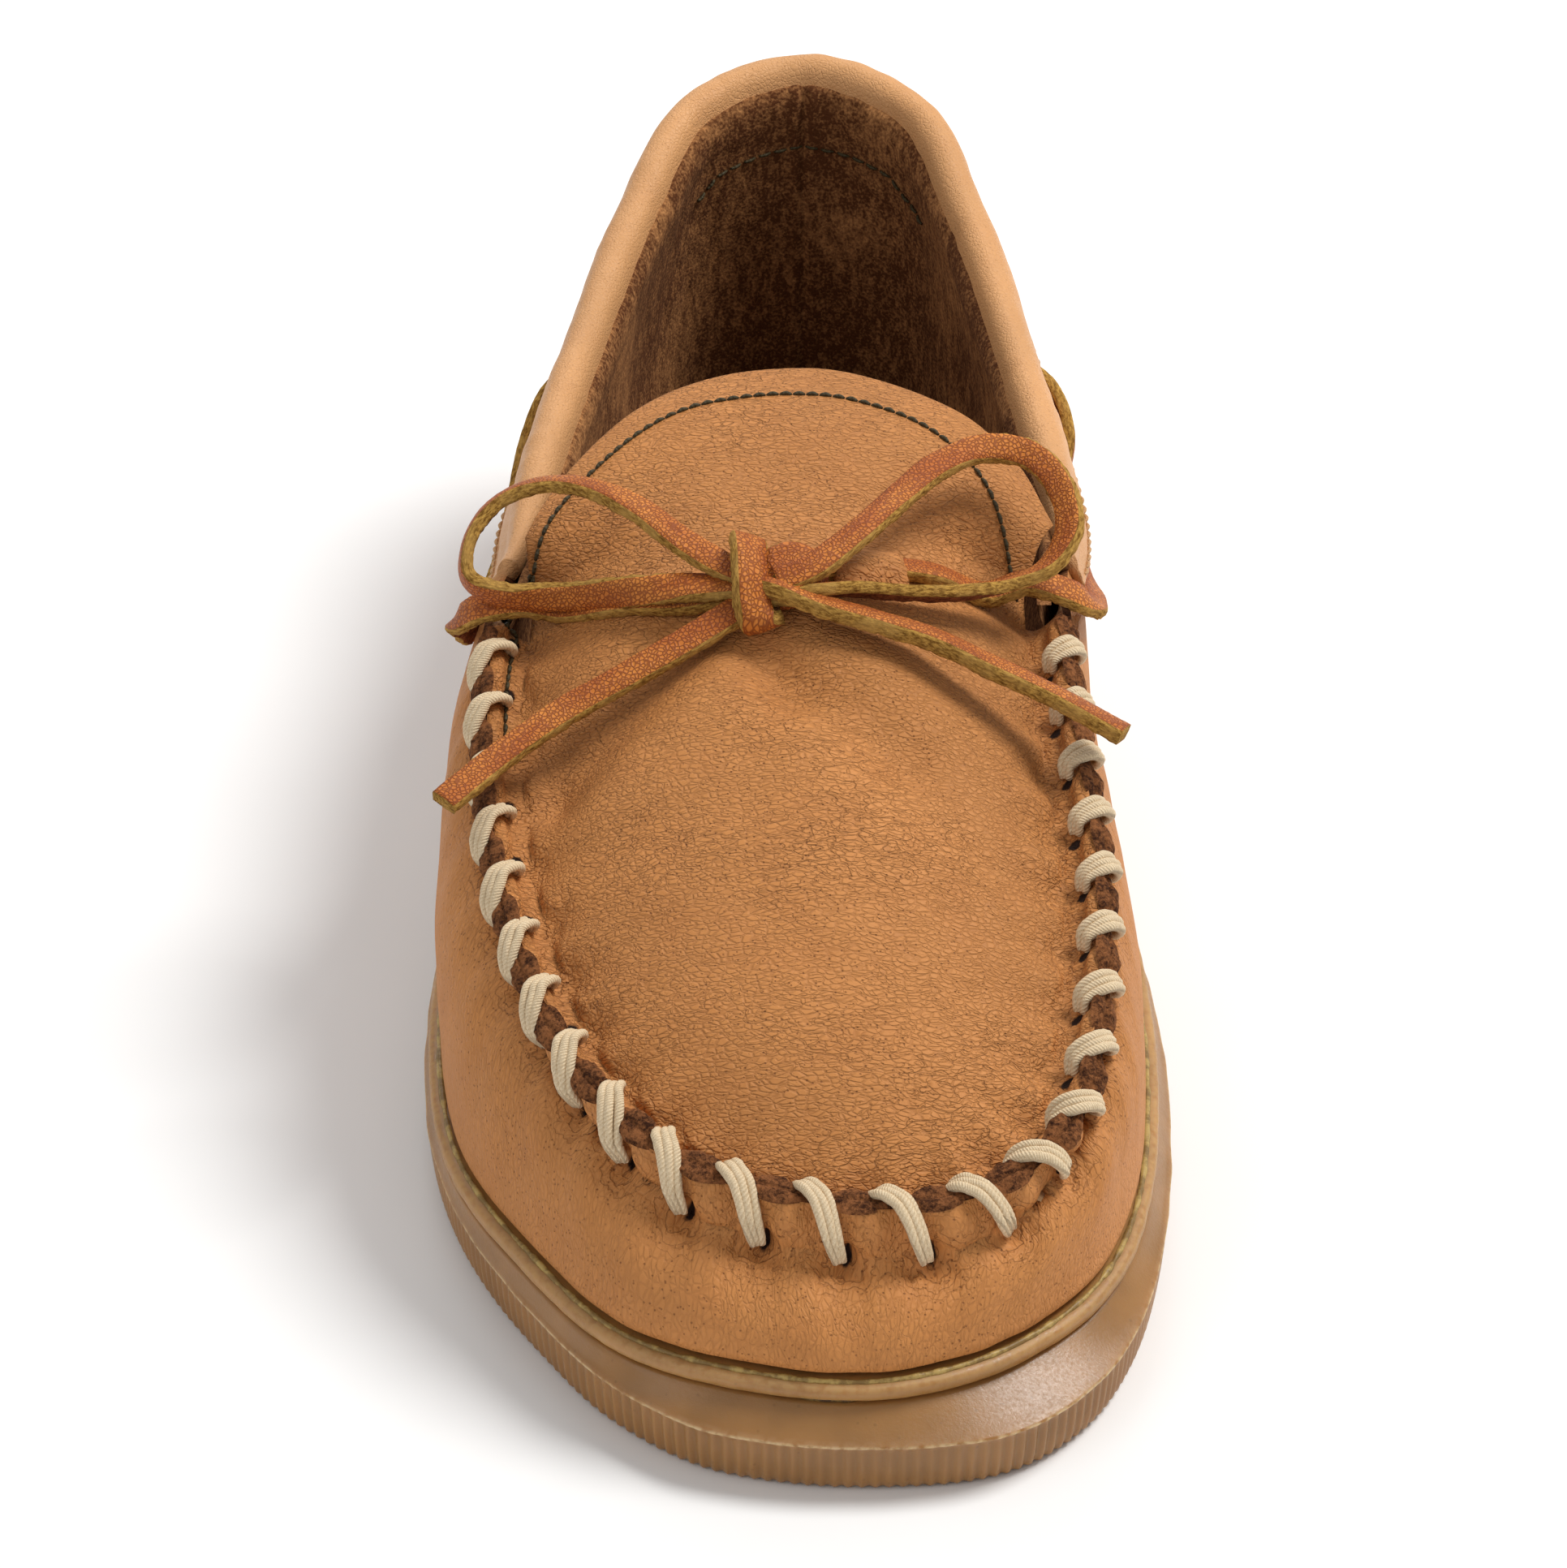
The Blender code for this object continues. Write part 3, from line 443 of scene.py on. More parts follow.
def wall_grid():
    """The whole outer wall from heel to heel, with its flange along the ridge.

    It comes with each row's place in stitches and in stations, and how fully the ridge stands there.
    """
    i = samples(0, HEEL)
    station = np.arange(len(i)) / FINE
    inside = np.minimum(station - THROAT_LATERAL, THROAT_MEDIAL - station)
    ridge_share = ease(inside / FLANGE_FADE + 1)[:, None, None]
    rim = mix(VAMP_RIM_SIDE, VAMP_RIM_FRONT, frontness(i)[:, None])
    vamp_end = in_space(i, rim)
    vamp = wall_curve(i, vamp_end, BEZIER_ROWS, VAMP_SWELL)
    phase = stitch_phase(np.clip(np.arange(len(i)), RIDGE[0], RIDGE[-1]))
    flange = in_space(i, outer_face(i, phase, np.linspace(1, 0, FLANGE_ROWS)))
    vamp = np.concatenate([vamp, flange], axis=1)
    quarter = wall_curve(i, TOP[i], BEZIER_ROWS + FLANGE_ROWS, QUARTER_SWELL)
    grid = mix(quarter, vamp, ridge_share)
    return grid, phase, station, ridge_share[:, 0, 0]


def wall_displacement(grid, phase, station, ridge_share):
    """How far each point moves outward: pleats under the stitches, slack leather, the back seam.

    It comes with each point's distance along the ridge from an outer hole, and below the cut edge.
    """
    below = np.linalg.norm(np.diff(grid, axis=1), axis=2)[:, ::-1].cumsum(axis=1)[:, ::-1]
    below = np.concatenate([below, np.zeros((len(grid), 1))], axis=1)
    rng = np.random.default_rng(7)
    stitch = np.clip(np.floor(phase), 0, STITCH_COUNT - 1).astype(int)
    strength = rng.uniform(0.7, 1.25, STITCH_COUNT)[stitch]
    tilt = np.interp(phase, np.arange(STITCH_COUNT) + 0.5, rng.uniform(-0.02, 0.02, STITCH_COUNT))
    front = frontness(samples(0, HEEL))
    depth = np.maximum(below - outer_hole_depth(front)[:, None], 0)
    gap = ((phase + tilt * depth.T - outer_hole(phase) + 0.5) % 1 - 0.5).T * STITCH_PITCH
    amount = (strength * (0.5 + 0.85 * front) * ridge_share)[:, None]
    pleat = PLEAT_HEIGHT * (1 - bell(gap, PLEAT_WIDTH)) - PLEAT_DROP
    pleat = pleat * ease(below / 2.6) * np.exp(-depth / PLEAT_REACH)
    split = (bell(gap - 2.2, 0.8) + bell(gap + 2.8, 0.7)) * np.exp(-depth / SPLIT_REACH)
    split = split * ease(depth / 1.5) * SPLIT_DEPTH
    loose = roughness(grid, *SLACK)
    loose *= ease((grid[..., 2] - UPPER_BASE) / 9) * ease(below / 7)
    back = np.minimum(station, station[-1] - station)[:, None] * SEAM_RUN
    seam = butted_seam(back, *BACK_SEAM)
    return amount * (pleat - split) + loose + seam * ease((grid[..., 2] - UPPER_BASE) / 3), gap, below


def build_wall(materials):
    """Vamp and quarters: one wall with pleats under the stitches and a butted back seam."""
    grid, phase, station, ridge_share = wall_grid()
    move, gap, below = wall_displacement(grid, phase, station, ridge_share)
    normals = -surface_normals(grid)
    places = grid.copy()
    grid = grid + normals * move[..., None]
    past = below - outer_hole_depth(frontness(samples(0, HEEL)))[:, None]
    hole = bell(gap, 1.3) * bell(past - 0.2, 1.5) * ridge_share[:, None]
    grid -= normals * hole[..., None] * HOLE_DEPTH
    mesh = grid_mesh("wall_leather", grid, flip=True)
    add_value(mesh, "hole", hole)
    ring = np.hypot(gap, past)
    add_value(mesh, "ring", np.where(ridge_share[:, None] > 0.5, ring, 99))
    flow = np.stack(np.broadcast_arrays(run_along(TOP[samples(0, HEEL)])[:, None], below, 0.0), axis=-1)
    add_vector(mesh, "flow", flow)
    wall = finish_mesh("wall_leather", mesh, materials, "shoe", places=places)
    thicken(wall, LEATHER)
    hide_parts("vamp", "quarter_lateral", "quarter_medial")


# ---------------------------------------------------------------- upper: plug and tongue

RING_ROWS = 12
TONGUE_ROWS = 44
KEEPER = ((15.0, -12.6), (4.0, -16.4))  # ends of the tunnel that the medial lace runs through
KEEPER_HEIGHT, KEEPER_HALF, KEEPER_END = 3.1, 5.4, 1.2
PUFF_HEIGHT, PUFF_REACH = 2.0, 4.6  # fullness of the plug between inner holes
HOLE_RADIUS = 1.5
WELD = 0.08  # vertices closer than this are one
TUCK_WIDTH, TUCK, BULGE = 2.4, 0.45, 1.0  # the margin is drawn in at holes and bulges between them
BULGE_HEIGHT = 3.4
INNER_HOLE_LEAD = 0.14  # share of a pitch that the needle's hole lies ahead of the thread
EDGE_STEPS, EDGE_COLUMNS = 900, 15


def plug_rim(i):
    """Where the plug's crown turns up into the ridge, at samples i."""
    return in_space(i, mix(PLUG_RIM_SIDE, PLUG_RIM_FRONT, frontness(i)[:, None]))


def throat_line(left, right, count):
    """The arched line across the instep between the ridge's two ends."""
    t = np.linspace(0, 1, count)
    line = mix(left[None], right[None], t[:, None])
    line[:, 2] += PLUG_CROWN * (4 * t * (1 - t)) ** 0.85
    return line


def crown_grid():
    """The plug inside the ridge, toe first, as a Coons patch."""
    left = plug_rim(samples(THROAT_LATERAL, PLUG_CORNER_LATERAL))[::-1]
    front = plug_rim(samples(PLUG_CORNER_LATERAL, PLUG_CORNER_MEDIAL))
    right = plug_rim(samples(PLUG_CORNER_MEDIAL, THROAT_MEDIAL))
    back = throat_line(left[-1], right[-1], len(front))
    a = np.linspace(0, 1, len(front))[None, :, None]
    b = np.linspace(0, 1, len(left))[:, None, None]
    sides = mix(left[:, None], right[:, None], a)
    ends = mix(front[None], back[None], b)
    corners = mix(mix(left[0], right[0], a), mix(left[-1], right[-1], a), b)
    fullness = PLUG_FULLNESS * np.sin(np.pi * a) * np.sin(np.pi * b) ** 0.8
    return sides + ends - corners + fullness * UP


def tongue_grid(throat):
    """The tongue behind the throat line, out to its free edge, in the plug's own columns."""
    edge = resample(smooth_curve(TONGUE_EDGE, False, 16), len(throat))
    start = throat + THROAT_SETBACK
    lead = [mix(throat, start, t) for t in np.linspace(0, 1, 8)[1:-1]]
    rows = []
    for t in np.linspace(0, 1, TONGUE_ROWS):
        row = mix(start, edge, t)
        row[:, 2] += TONGUE_ARCH * math.sin(math.pi * t)
        rows.append(row)
    return np.array(lead + rows)


def ring_section(i, phase):
    """Section of the plug's turned-up margin, from the crown's rim to the cut edge."""
    across, along = ridge_frame(i)
    front = frontness(i)[:, None]
    rim = mix(PLUG_RIM_SIDE, PLUG_RIM_FRONT, front)
    tight = pinch(phase)[:, None]
    near_hole = bell(from_hole(phase, inner_hole(phase)), TUCK_WIDTH)[:, None]
    half = edge_half(tight)

    def face(depth):
        bulge = BULGE * np.sin(math.pi * depth / BULGE_HEIGHT) * (1 - near_hole) - TUCK * near_hole
        return -across * (half + bulge) - along * (depth + EDGE_DIP * tight)

    deepest = mix(*INNER_DEPTH, front)
    middle = mix(rim, face(deepest), 0.45) + np.array([0, 1.0]) * (0.9 * (1 - near_hole) - 0.7)
    keys = np.stack([rim, middle, face(deepest), face(deepest * 0.5), face(0)], axis=1)
    return np.array([resample(smooth_curve(section, False, 6), RING_ROWS) for section in keys])


def nearest_on_rim(points, rim):
    """Distance to the rim and the number of the nearest rim sample, for each point."""
    flat = points.reshape(-1, 3)
    gaps, index = np.empty(len(flat)), np.empty(len(flat), int)
    for start in range(0, len(flat), 2000):
        d = np.linalg.norm(flat[start:start + 2000, None] - rim[None], axis=2)
        index[start:start + 2000] = d.argmin(axis=1)
        gaps[start:start + 2000] = d.min(axis=1)
    return gaps.reshape(points.shape[:-1]), index.reshape(points.shape[:-1])


# Soft folds in the plug: (x, y) ends, depth and half width.
FOLDS = [
    ((-36, -46), (-16, -27), -2.8, 6.0), ((-30, -62), (-8, -58), -0.6, 6.0),
    ((-2, -34), (16, -50), -2.1, 5.5), ((14, -36), (33, -46), 0.7, 6.0),
    ((-12, -40), (4, -44), 0.7, 7.0), ((-22, 4), (14, 3), -0.5, 8.0),
    ((20, -58), (36, -66), -0.5, 5.0), ((-6, -31), (-1, -40), -2.0, 4.5)]


def fold_field(points):
    """Height of the soft folds at each point."""
    total = np.zeros(points.shape[:-1])
    flat = points[..., :2]
    for start, end, depth, width in FOLDS:
        a, b = np.array(start, float), np.array(end, float)
        t = np.clip(((flat - a) @ (b - a)) / ((b - a) @ (b - a)), 0, 1)
        gap = np.linalg.norm(flat - (a + t[..., None] * (b - a)), axis=-1)
        total += depth * bell(gap, width)
    return total


def keeper_field(points):
    """Height of the bulge where the medial lace runs under the plug's leather."""
    a, b = (np.array(end, float) for end in KEEPER)
    flat = points[..., :2]
    along = unit(b - a)
    length = np.linalg.norm(b - a)
    t = (flat - a) @ along
    side = (flat - a) @ np.array([-along[1], along[0]])
    ends = ease(t / KEEPER_END + 0.5) * ease((length - t) / KEEPER_END + 0.5)
    return KEEPER_HEIGHT * ends * np.clip(1 - (side / KEEPER_HALF) ** 2, 0, 1) ** 1.3


def weld_facing_up(mesh):
    """Weld a mesh's touching rims and turn its faces outward."""
    bm = bmesh.new()
    bm.from_mesh(mesh)
    bmesh.ops.remove_doubles(bm, verts=bm.verts, dist=WELD * MM)
    bmesh.ops.recalc_face_normals(bm, faces=bm.faces)
    bm.faces.ensure_lookup_table()
    highest = max(bm.faces, key=lambda face: face.calc_center_median().z)
    if highest.normal.z < 0:
        bmesh.ops.reverse_faces(bm, faces=bm.faces)
    bm.to_mesh(mesh)
    bm.free()


def build_plug(materials):
    """Plug and tongue: one piece of leather, sewn up into the ridge along three sides."""
    crown = crown_grid()
    grid = np.vstack([crown, tongue_grid(crown[-1])])
    rim = plug_rim(RIDGE)
    rim_phase = stitch_phase(RIDGE)
    gap, index = nearest_on_rim(grid, rim)
    phase = rim_phase[index]
    puff = 0.5 + 0.5 * np.cos(2 * np.pi * (phase - inner_hole(phase) - 0.5))
    sewn = np.ones(len(grid))[:, None]
    sewn[len(crown):] = 0
    lift = sewn * (PUFF_HEIGHT * (puff - 0.5) * np.exp(-gap / PUFF_REACH) * ease(gap / 1.6))
    lift += fold_field(grid) * ease(gap / 5) + keeper_field(grid)
    lift += ease(gap / 6) * roughness(grid, (0.45, 26, 3), (0.16, 9, 4))
    normals = surface_normals(grid)
    normals *= np.sign(normals[..., 2:3])
    places = grid.copy()
    grid = grid + normals * lift[..., None]
    margin = in_space(RIDGE, ring_section(RIDGE, rim_phase))
    surface = np.vstack([places.reshape(-1, 3), margin.reshape(-1, 3)])
    holes_at = np.array([surface[np.linalg.norm(surface - hole, axis=1).argmin()]
                         for hole in hole_places(rim_phase)])
    crown_mesh = grid_mesh("plug_crown", grid)
    margin_mesh = grid_mesh("plug_margin", margin)
    for mesh, points in ((crown_mesh, places), (margin_mesh, margin)):
        distance = np.linalg.norm(points.reshape(-1, 1, 3) - holes_at[None], axis=2).min(axis=1)
        add_value(mesh, "ring", distance)
        add_value(mesh, "hole", bell(distance, HOLE_RADIUS))
        add_vector(mesh, "place", points)
    mesh = join_meshes("plug_leather", [crown_mesh, margin_mesh])
    weld_facing_up(mesh)
    kept = np.zeros(len(mesh.vertices) * 3, np.float32)
    mesh.attributes["place"].data.foreach_get("vector", kept)
    mesh.attributes.remove(mesh.attributes["place"])
    plug = finish_mesh("plug_leather", mesh, materials, None, places=kept)
    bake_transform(plug)
    thicken(plug, LEATHER)
    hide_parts("plug", "tongue")
    return plug, grid


def hole_places(rim_phase):
    """Where the thread goes into the plug, a little inward of each stitch's inner end."""
    stitch = np.arange(STITCH_COUNT)
    phases = stitch + inner_hole(stitch) - INNER_HOLE_LEAD
    at = np.interp(phases, rim_phase, RIDGE)
    i = np.round(at).astype(int)
    across, along = ridge_frame(i)
    deepest = mix(*INNER_DEPTH, frontness(i))[:, None]
    return in_space(i, -across * (EDGE_HALF + 0.8) - along * (deepest + 0.5))


def build_ridge_edge(material):
    """The two cut edges side by side, fibrous and a little proud between stitches."""
    step = np.linspace(RIDGE[0], RIDGE[-1], EDGE_STEPS)
    across, along = ridge_frame(np.round(step).astype(int))
    tight = pinch(stitch_phase(step))
    fade = ease(np.minimum(step - RIDGE[0], RIDGE[-1] - step) / (0.12 * FINE))
    half = (EDGE_HALF + 0.95) * (1 - 0.75 * tight) * (0.35 + 0.65 * fade)
    rows = []
    for c in np.linspace(-1, 1, EDGE_COLUMNS):
        crown = 0.75 * math.sqrt(max(1 - c * c, 0)) - 0.4 * float(bell(c, 0.12)) - 0.3
        height = crown * (1 - 0.5 * tight) - EDGE_DIP * tight
        section = across * (c * half)[:, None] + along * height[:, None]
        rows.append(between_samples(step, section))
    grid = np.stack(rows, axis=1)
    fuzz = roughness(grid, (0.16, 0.9, 5), (0.14, 2.6, 6))
    places = grid.copy()
    normals = surface_normals(grid)
    grid += normals * np.sign(normals[..., 2:3]) * fuzz[..., None]
    mesh = grid_mesh("ridge_edge", grid, flip=True)
    finish_mesh("ridge_edge", mesh, [material], "shoe", places=places)


# ---------------------------------------------------------------- ridge thread

STRANDS = 3
STRAND_SIDES = 10
STRAND_SPREAD = 1.2
STRAND_RADIUS = 0.74


def stitch_section(i):
    """Places of one stitch over the ridge, hole to hole, as (side, height) from the top line."""
    across, along = ridge_frame(i)
    front = frontness(i)
    inner = mix(*INNER_DEPTH, front)
    outer = mix(*OUTER_DEPTH, front)
    t = np.linspace(0, 1, len(i))
    keys_t = [0, 0.06, 0.18, 0.35, 0.52, 0.67, 0.82, 0.94, 1]
    keys_c = [-EDGE_HALF + 0.4, -EDGE_HALF - 0.8, -EDGE_HALF - 1.05, -EDGE_HALF * 0.8, 0, EDGE_HALF * 0.85,
              EDGE_HALF + 0.95, EDGE_HALF + 0.8, EDGE_HALF - 0.5]
    keys_d = [inner + 0.4, inner, inner * 0.35, -0.6, -0.8, -0.5, outer * 0.3, outer, outer + 0.5]
    c = np.interp(t, keys_t, keys_c)
    depth = np.array([np.interp(t[k], keys_t, [d if np.isscalar(d) else d[k] for d in keys_d])
                      for k in range(len(t))])
    reach = mix(*OUTER_REACH, front) * (np.maximum(depth, 0) / outer) ** 1.4 * (t > 0.5)
    bow = front * 1.1 * bell(t - 0.8, 0.12)
    return across * (c + bow)[:, None] - along * depth[:, None] + np.array([1.0, 0]) * reach[:, None]


def stitch_route(k, strand, rng):
    """One strand of stitch k, from its inner hole over the ridge to its outer hole."""
    phase = k + mix(inner_hole(k), outer_hole(k), np.linspace(0, 1, 26))
    at = np.interp(phase, stitch_phase(RIDGE), RIDGE)
    route = between_samples(at, stitch_section(np.round(at).astype(int)))
    route = smooth_curve(route[::3], False, 4)
    t = np.linspace(0, 1, len(route))
    tangent = unit(np.gradient(route, axis=0))
    away = unit(route - route.mean(axis=0))
    sideways = unit(np.cross(tangent, away))
    spread = (strand - (STRANDS - 1) / 2) * (0.45 + 0.55 * np.sin(np.pi * t) ** 0.7) * STRAND_SPREAD
    spread = spread + rng.uniform(-0.1, 0.1) + 0.12 * np.sin(2 * np.pi * t + rng.uniform(0, 6))
    lift = 0.12 * np.cos(2 * np.pi * t + strand * 2.1)
    return route + sideways * spread[:, None] + away * lift[:, None]


def build_ridge_thread(material):
    """Every stitch as flat-lying strands of waxed thread."""
    rng = np.random.default_rng(11)
    meshes = []
    for k in range(STITCH_COUNT):
        for strand in range(STRANDS):
            route = stitch_route(k, strand, rng)
            t = np.linspace(0, 1, len(route))
            radius = STRAND_RADIUS * (0.72 + 0.28 * np.sin(np.pi * t) ** 0.6) * rng.uniform(0.92, 1.08)
            rows = tube_rows(route, radius, STRAND_SIDES)
            rows += 0.05 * roughness_field(rows, 0.8, 8)[..., None] * unit(rows - route[:, None])
            mesh = grid_mesh("strand", rows, closed_columns=True, caps=True)
            add_value(mesh, "along", np.repeat(t, STRAND_SIDES) * 9)
            add_value(mesh, "round", np.tile(np.linspace(0, 1, STRAND_SIDES, endpoint=False), len(route)))
            meshes.append(mesh)
    mesh = join_meshes("ridge_stitches", meshes)
    thread = finish_mesh("ridge_stitches", mesh, [material], "shoe")
    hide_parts("ridge_thread")


# ---------------------------------------------------------------- machine stitches

DASH_STEPS, DASH_SIDES = 7, 7
# Pitch, length and radius of each seam's stitches.
HEM_STITCH = (2.0, 1.7, 0.33)
COLLAR_STITCH = (3.0, 2.3, 0.3)
COUNTER_STITCH = (2.8, 2.1, 0.28)


def stitch_dashes(name, route, ups, size, material, body, lift):
    """A row of machine stitches: short flattened beads of thread that dip at both ends."""
    pitch, length, radius = size
    run = run_along(route)
    meshes = []
    t = np.linspace(0, 1, DASH_STEPS)
    for start in np.arange(0.5, run[-1] - length, pitch):
        at = start + t * length
        line = read_off(at, run, route)
        up = unit(read_off(at, run, ups))
        line = line + up * (lift + radius * 0.9 * np.sin(math.pi * t)[:, None] - radius * 0.35)
        rows = tube_rows(line, radius * (0.7 + 0.3 * np.sin(math.pi * t)), DASH_SIDES, up=up)
        mesh = grid_mesh("dash", rows, closed_columns=True, caps=True)
        add_value(mesh, "along", np.repeat(t, DASH_SIDES))
        meshes.append(mesh)
    return finish_mesh(name, join_meshes(name, meshes), [material], body)


def surface_of(thing):
    """A tree of a piece's own mesh, for dropping points on to it, in millimetres."""
    mesh = thing.data
    co = np.zeros(len(mesh.vertices) * 3)
    mesh.vertices.foreach_get("co", co)
    verts = [Vector(point) for point in (co.reshape(-1, 3) / MM)]
    return BVHTree.FromPolygons(verts, [tuple(polygon.vertices) for polygon in mesh.polygons])


def laid(tree, points, lift=0.0):
    """Points at (x, y) dropped on to a surface, with the surface's normals there."""
    places, ups = [], []
    for x, y in points:
        hit, normal, _, _ = tree.ray_cast(Vector((x, y, 200)), Vector((0, 0, -1)))
        if hit is None:
            hit, normal, _, _ = tree.find_nearest(Vector((x, y, 65)))
        normal = normal if normal.z > 0 else -normal
        places.append(np.array(hit) + np.array(normal) * lift)
        ups.append(np.array(normal))
    return np.array(places), np.array(ups)


# The hem's stitching: up the lateral side of the throat, round the tongue and down again.
HEM_LINE = [
    (-42.4, -37), (-42.6, -28), (-42.2, -18), (-40.4, -9), (-37.8, -2), (-34.2, 3.6), (-29, 9.6),
    (-22.6, 15.4), (-15, 19.2), (-6.4, 21.2), (3, 21.6), (11, 20.2), (17.6, 17), (23.4, 12.2), (27.6, 6.8),
    (30.8, 0.4), (33, -6)]


def build_hem(tree, material):
    """The hem's stitches, which bend with the tongue."""
    line = smooth_curve([(x, y, 0) for x, y in HEM_LINE], False, 24)[:, :2]
    route, ups = laid(tree, resample(line, 700))
    hem = stitch_dashes("hem_stitches", route, ups, HEM_STITCH, material, None, 0.08)
    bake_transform(hem)


# ---------------------------------------------------------------- collar and linings

COLLAR_PROFILE = [
    (0.6, -7.2), (2.7, -7.7), (3.55, -7.0), (3.75, -5.6), (3.5, -4.9), (3.8, -3.6), (3.75, 0), (3.1, 3.5),
    (1.5, 6.1), (-0.8, 6.8), (-2.7, 5.6), (-3.7, 2.8), (-3.8, 0), (-3.4, -2)]
HEM_LEVEL = (3.62, -5.3)  # where the collar is stitched down, out and up from the quarter's top edge
LINING_ROWS = 30
COUNTER_STITCHES_BELOW = 8.5
LINING_PROFILE = [(-2.6, 2.4), (-3.2, 3.0), (-4.0, 2.8), (-4.6, 1.6), (-4.9, 0), (-5.0, -3)]


def quarter_faces(i):
    """The quarter's outer face above its lasting margin, at samples i."""
    return wall_curve(i, TOP[i], BEZIER_ROWS + FLANGE_ROWS, QUARTER_SWELL)[:, len(LASTING_MARGIN):]


def beside_wall(face, i, out, up):
    """A point off the quarter's outer face: out from it, and up from its top edge."""
    height = TOP[i][2] + up
    x, y = (np.interp(height, face[:, 2], face[:, k]) for k in (0, 1))
    return np.array([x, y, height]) + TOP_OUT[i] * out


def collar_fullness(station):
    """How full the padded roll is; it thins out towards its two front ends."""
    inside = np.minimum(station - COLLAR_FRONT_MEDIAL, HEEL + COLLAR_FRONT_LATERAL - station)
    return 0.45 + 0.55 * ease(inside / 1.1)


def along_collar(start, end, profile):
    """Rows of a profile of (out, up) carried along the collar, and their samples."""
    i = samples(start, end)
    full = collar_fullness(start + np.arange(len(i)) / FINE)
    rows = [[beside_wall(face, k, out * f, up * f) for out, up in profile]
            for face, k, f in zip(quarter_faces(i), i, full)]
    return np.array(rows), i


def build_collar(material, thread):
    """The padded roll: leather folded over foam, stitched down along its outer hem."""
    profile = smooth_curve(COLLAR_PROFILE, False, 4)
    grid, i = along_collar(COLLAR_FRONT_MEDIAL, HEEL + COLLAR_FRONT_LATERAL, profile)
    away = unit(grid - TOP[i][:, None])
    run = run_along(TOP[i])[:, None]
    crest = bell(np.arange(len(profile)) - 0.55 * len(profile), 10)[None]
    pucker = np.sin(run / 1.05 + 2.2 * roughness_field(grid, 9, 12)) * roughness_field(grid, 14, 13)
    move = 0.35 * roughness_field(grid, 17, 9) * crest + 0.1 * roughness_field(grid, 5, 10) + 0.1 * pucker
    places = grid.copy()
    grid = grid + away * move[..., None]
    mesh = grid_mesh("collar_roll", grid, caps=True, flip=True)
    collar = finish_mesh("collar_roll", mesh, [material], "shoe", places=places)
    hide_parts("collar_cover", "collar_foam")
    route, i = along_collar(COLLAR_FRONT_MEDIAL + 0.1, HEEL + COLLAR_FRONT_LATERAL - 0.1, [HEM_LEVEL])
    stitch_dashes("collar_stitches", route[:, 0], TOP_OUT[i], COLLAR_STITCH, thread, "shoe", 0.1)


def lining_grid():
    """The suede lining from the collar's crest down to the footbed, with its samples and stations."""
    i = samples(THROAT_MEDIAL + 0.1, HEEL + THROAT_LATERAL - 0.1)
    faces = quarter_faces(i)
    station = THROAT_MEDIAL + 0.1 + np.arange(len(i)) / FINE
    inside = np.minimum(station - COLLAR_FRONT_MEDIAL, HEEL + COLLAR_FRONT_LATERAL - station)
    full = np.where(inside > 0, collar_fullness(station), 0.45 * ease(inside / 0.3 + 1))
    profile = smooth_curve(LINING_PROFILE, False, 4)
    rows = []
    for face, k, f in zip(faces, i, full):
        row = [beside_wall(face, k, out * max(f, 0.9), up * f) for out, up in profile]
        low, high = SOCK_TOP + 0.3 - TOP[k][2], profile[-1][1]
        row += [beside_wall(face, k, -4.7 - 0.8 * t, mix(high * f, low, t))
                for t in np.linspace(0, 1, LINING_ROWS)[1:]]
        rows.append(row)
    return np.array(rows), i, station


def build_lining(material, thread):
    """Napped suede with a butted seam at the centre of the heel and the counter's stitching."""
    grid, i, station = lining_grid()
    normals = surface_normals(grid)
    side = np.sign((normals * -TOP_OUT[i][:, None]).sum(-1))[..., None]
    from_back = np.abs(station - HEEL)[:, None] * SEAM_RUN
    move = roughness(grid, (0.3, 16, 14), (0.14, 3.5, 15)) + butted_seam(from_back, *LINING_SEAM)
    places = grid.copy()
    fade = ease(np.arange(grid.shape[1]) / 16)[None]
    grid = grid + normals * side * (move * fade)[..., None]
    mesh = grid_mesh("suede_lining", grid)
    lining = finish_mesh("suede_lining", mesh, [material], "shoe", places=places)
    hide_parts("lining_lateral", "lining_medial")
    wrap = np.abs(station - HEEL) < 1.5
    level = TOP[i[wrap]][:, 2:3] - COUNTER_STITCHES_BELOW
    row = np.argmin(np.abs(grid[wrap][:, :, 2] - level), axis=1)
    route = grid[wrap][np.arange(wrap.sum()), row]
    stitch_dashes("counter_stitches", resample(smooth_curve(route[::6], False, 6), 300),
                  evenly_mixed(-TOP_OUT[i[wrap]][::6], 300), COUNTER_STITCH, thread, "shoe", 0.3)


TONGUE_LINING_OVERLAP = 30  # rows it reaches in under the plug
TONGUE_LINING_GAP, TONGUE_LINING_THICKNESS = 0.45, 1.0


def build_tongue_lining(grid, material):
    """Suede under the tongue, just inside its edge."""
    normals = surface_normals(grid)
    normals *= np.sign(normals[..., 2:3])
    first = FINE * (PLUG_CORNER_LATERAL - THROAT_LATERAL) - TONGUE_LINING_OVERLAP
    under = (grid - normals * (LEATHER + TONGUE_LINING_GAP))[first:-2, 3:-3]
    mesh = grid_mesh("tongue_lining_suede", under)
    lining = finish_mesh("tongue_lining_suede", mesh, [material] * 3, None)
    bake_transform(lining)
    thicken(lining, TONGUE_LINING_THICKNESS)
    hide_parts("tongue_lining")


# ---------------------------------------------------------------- sole

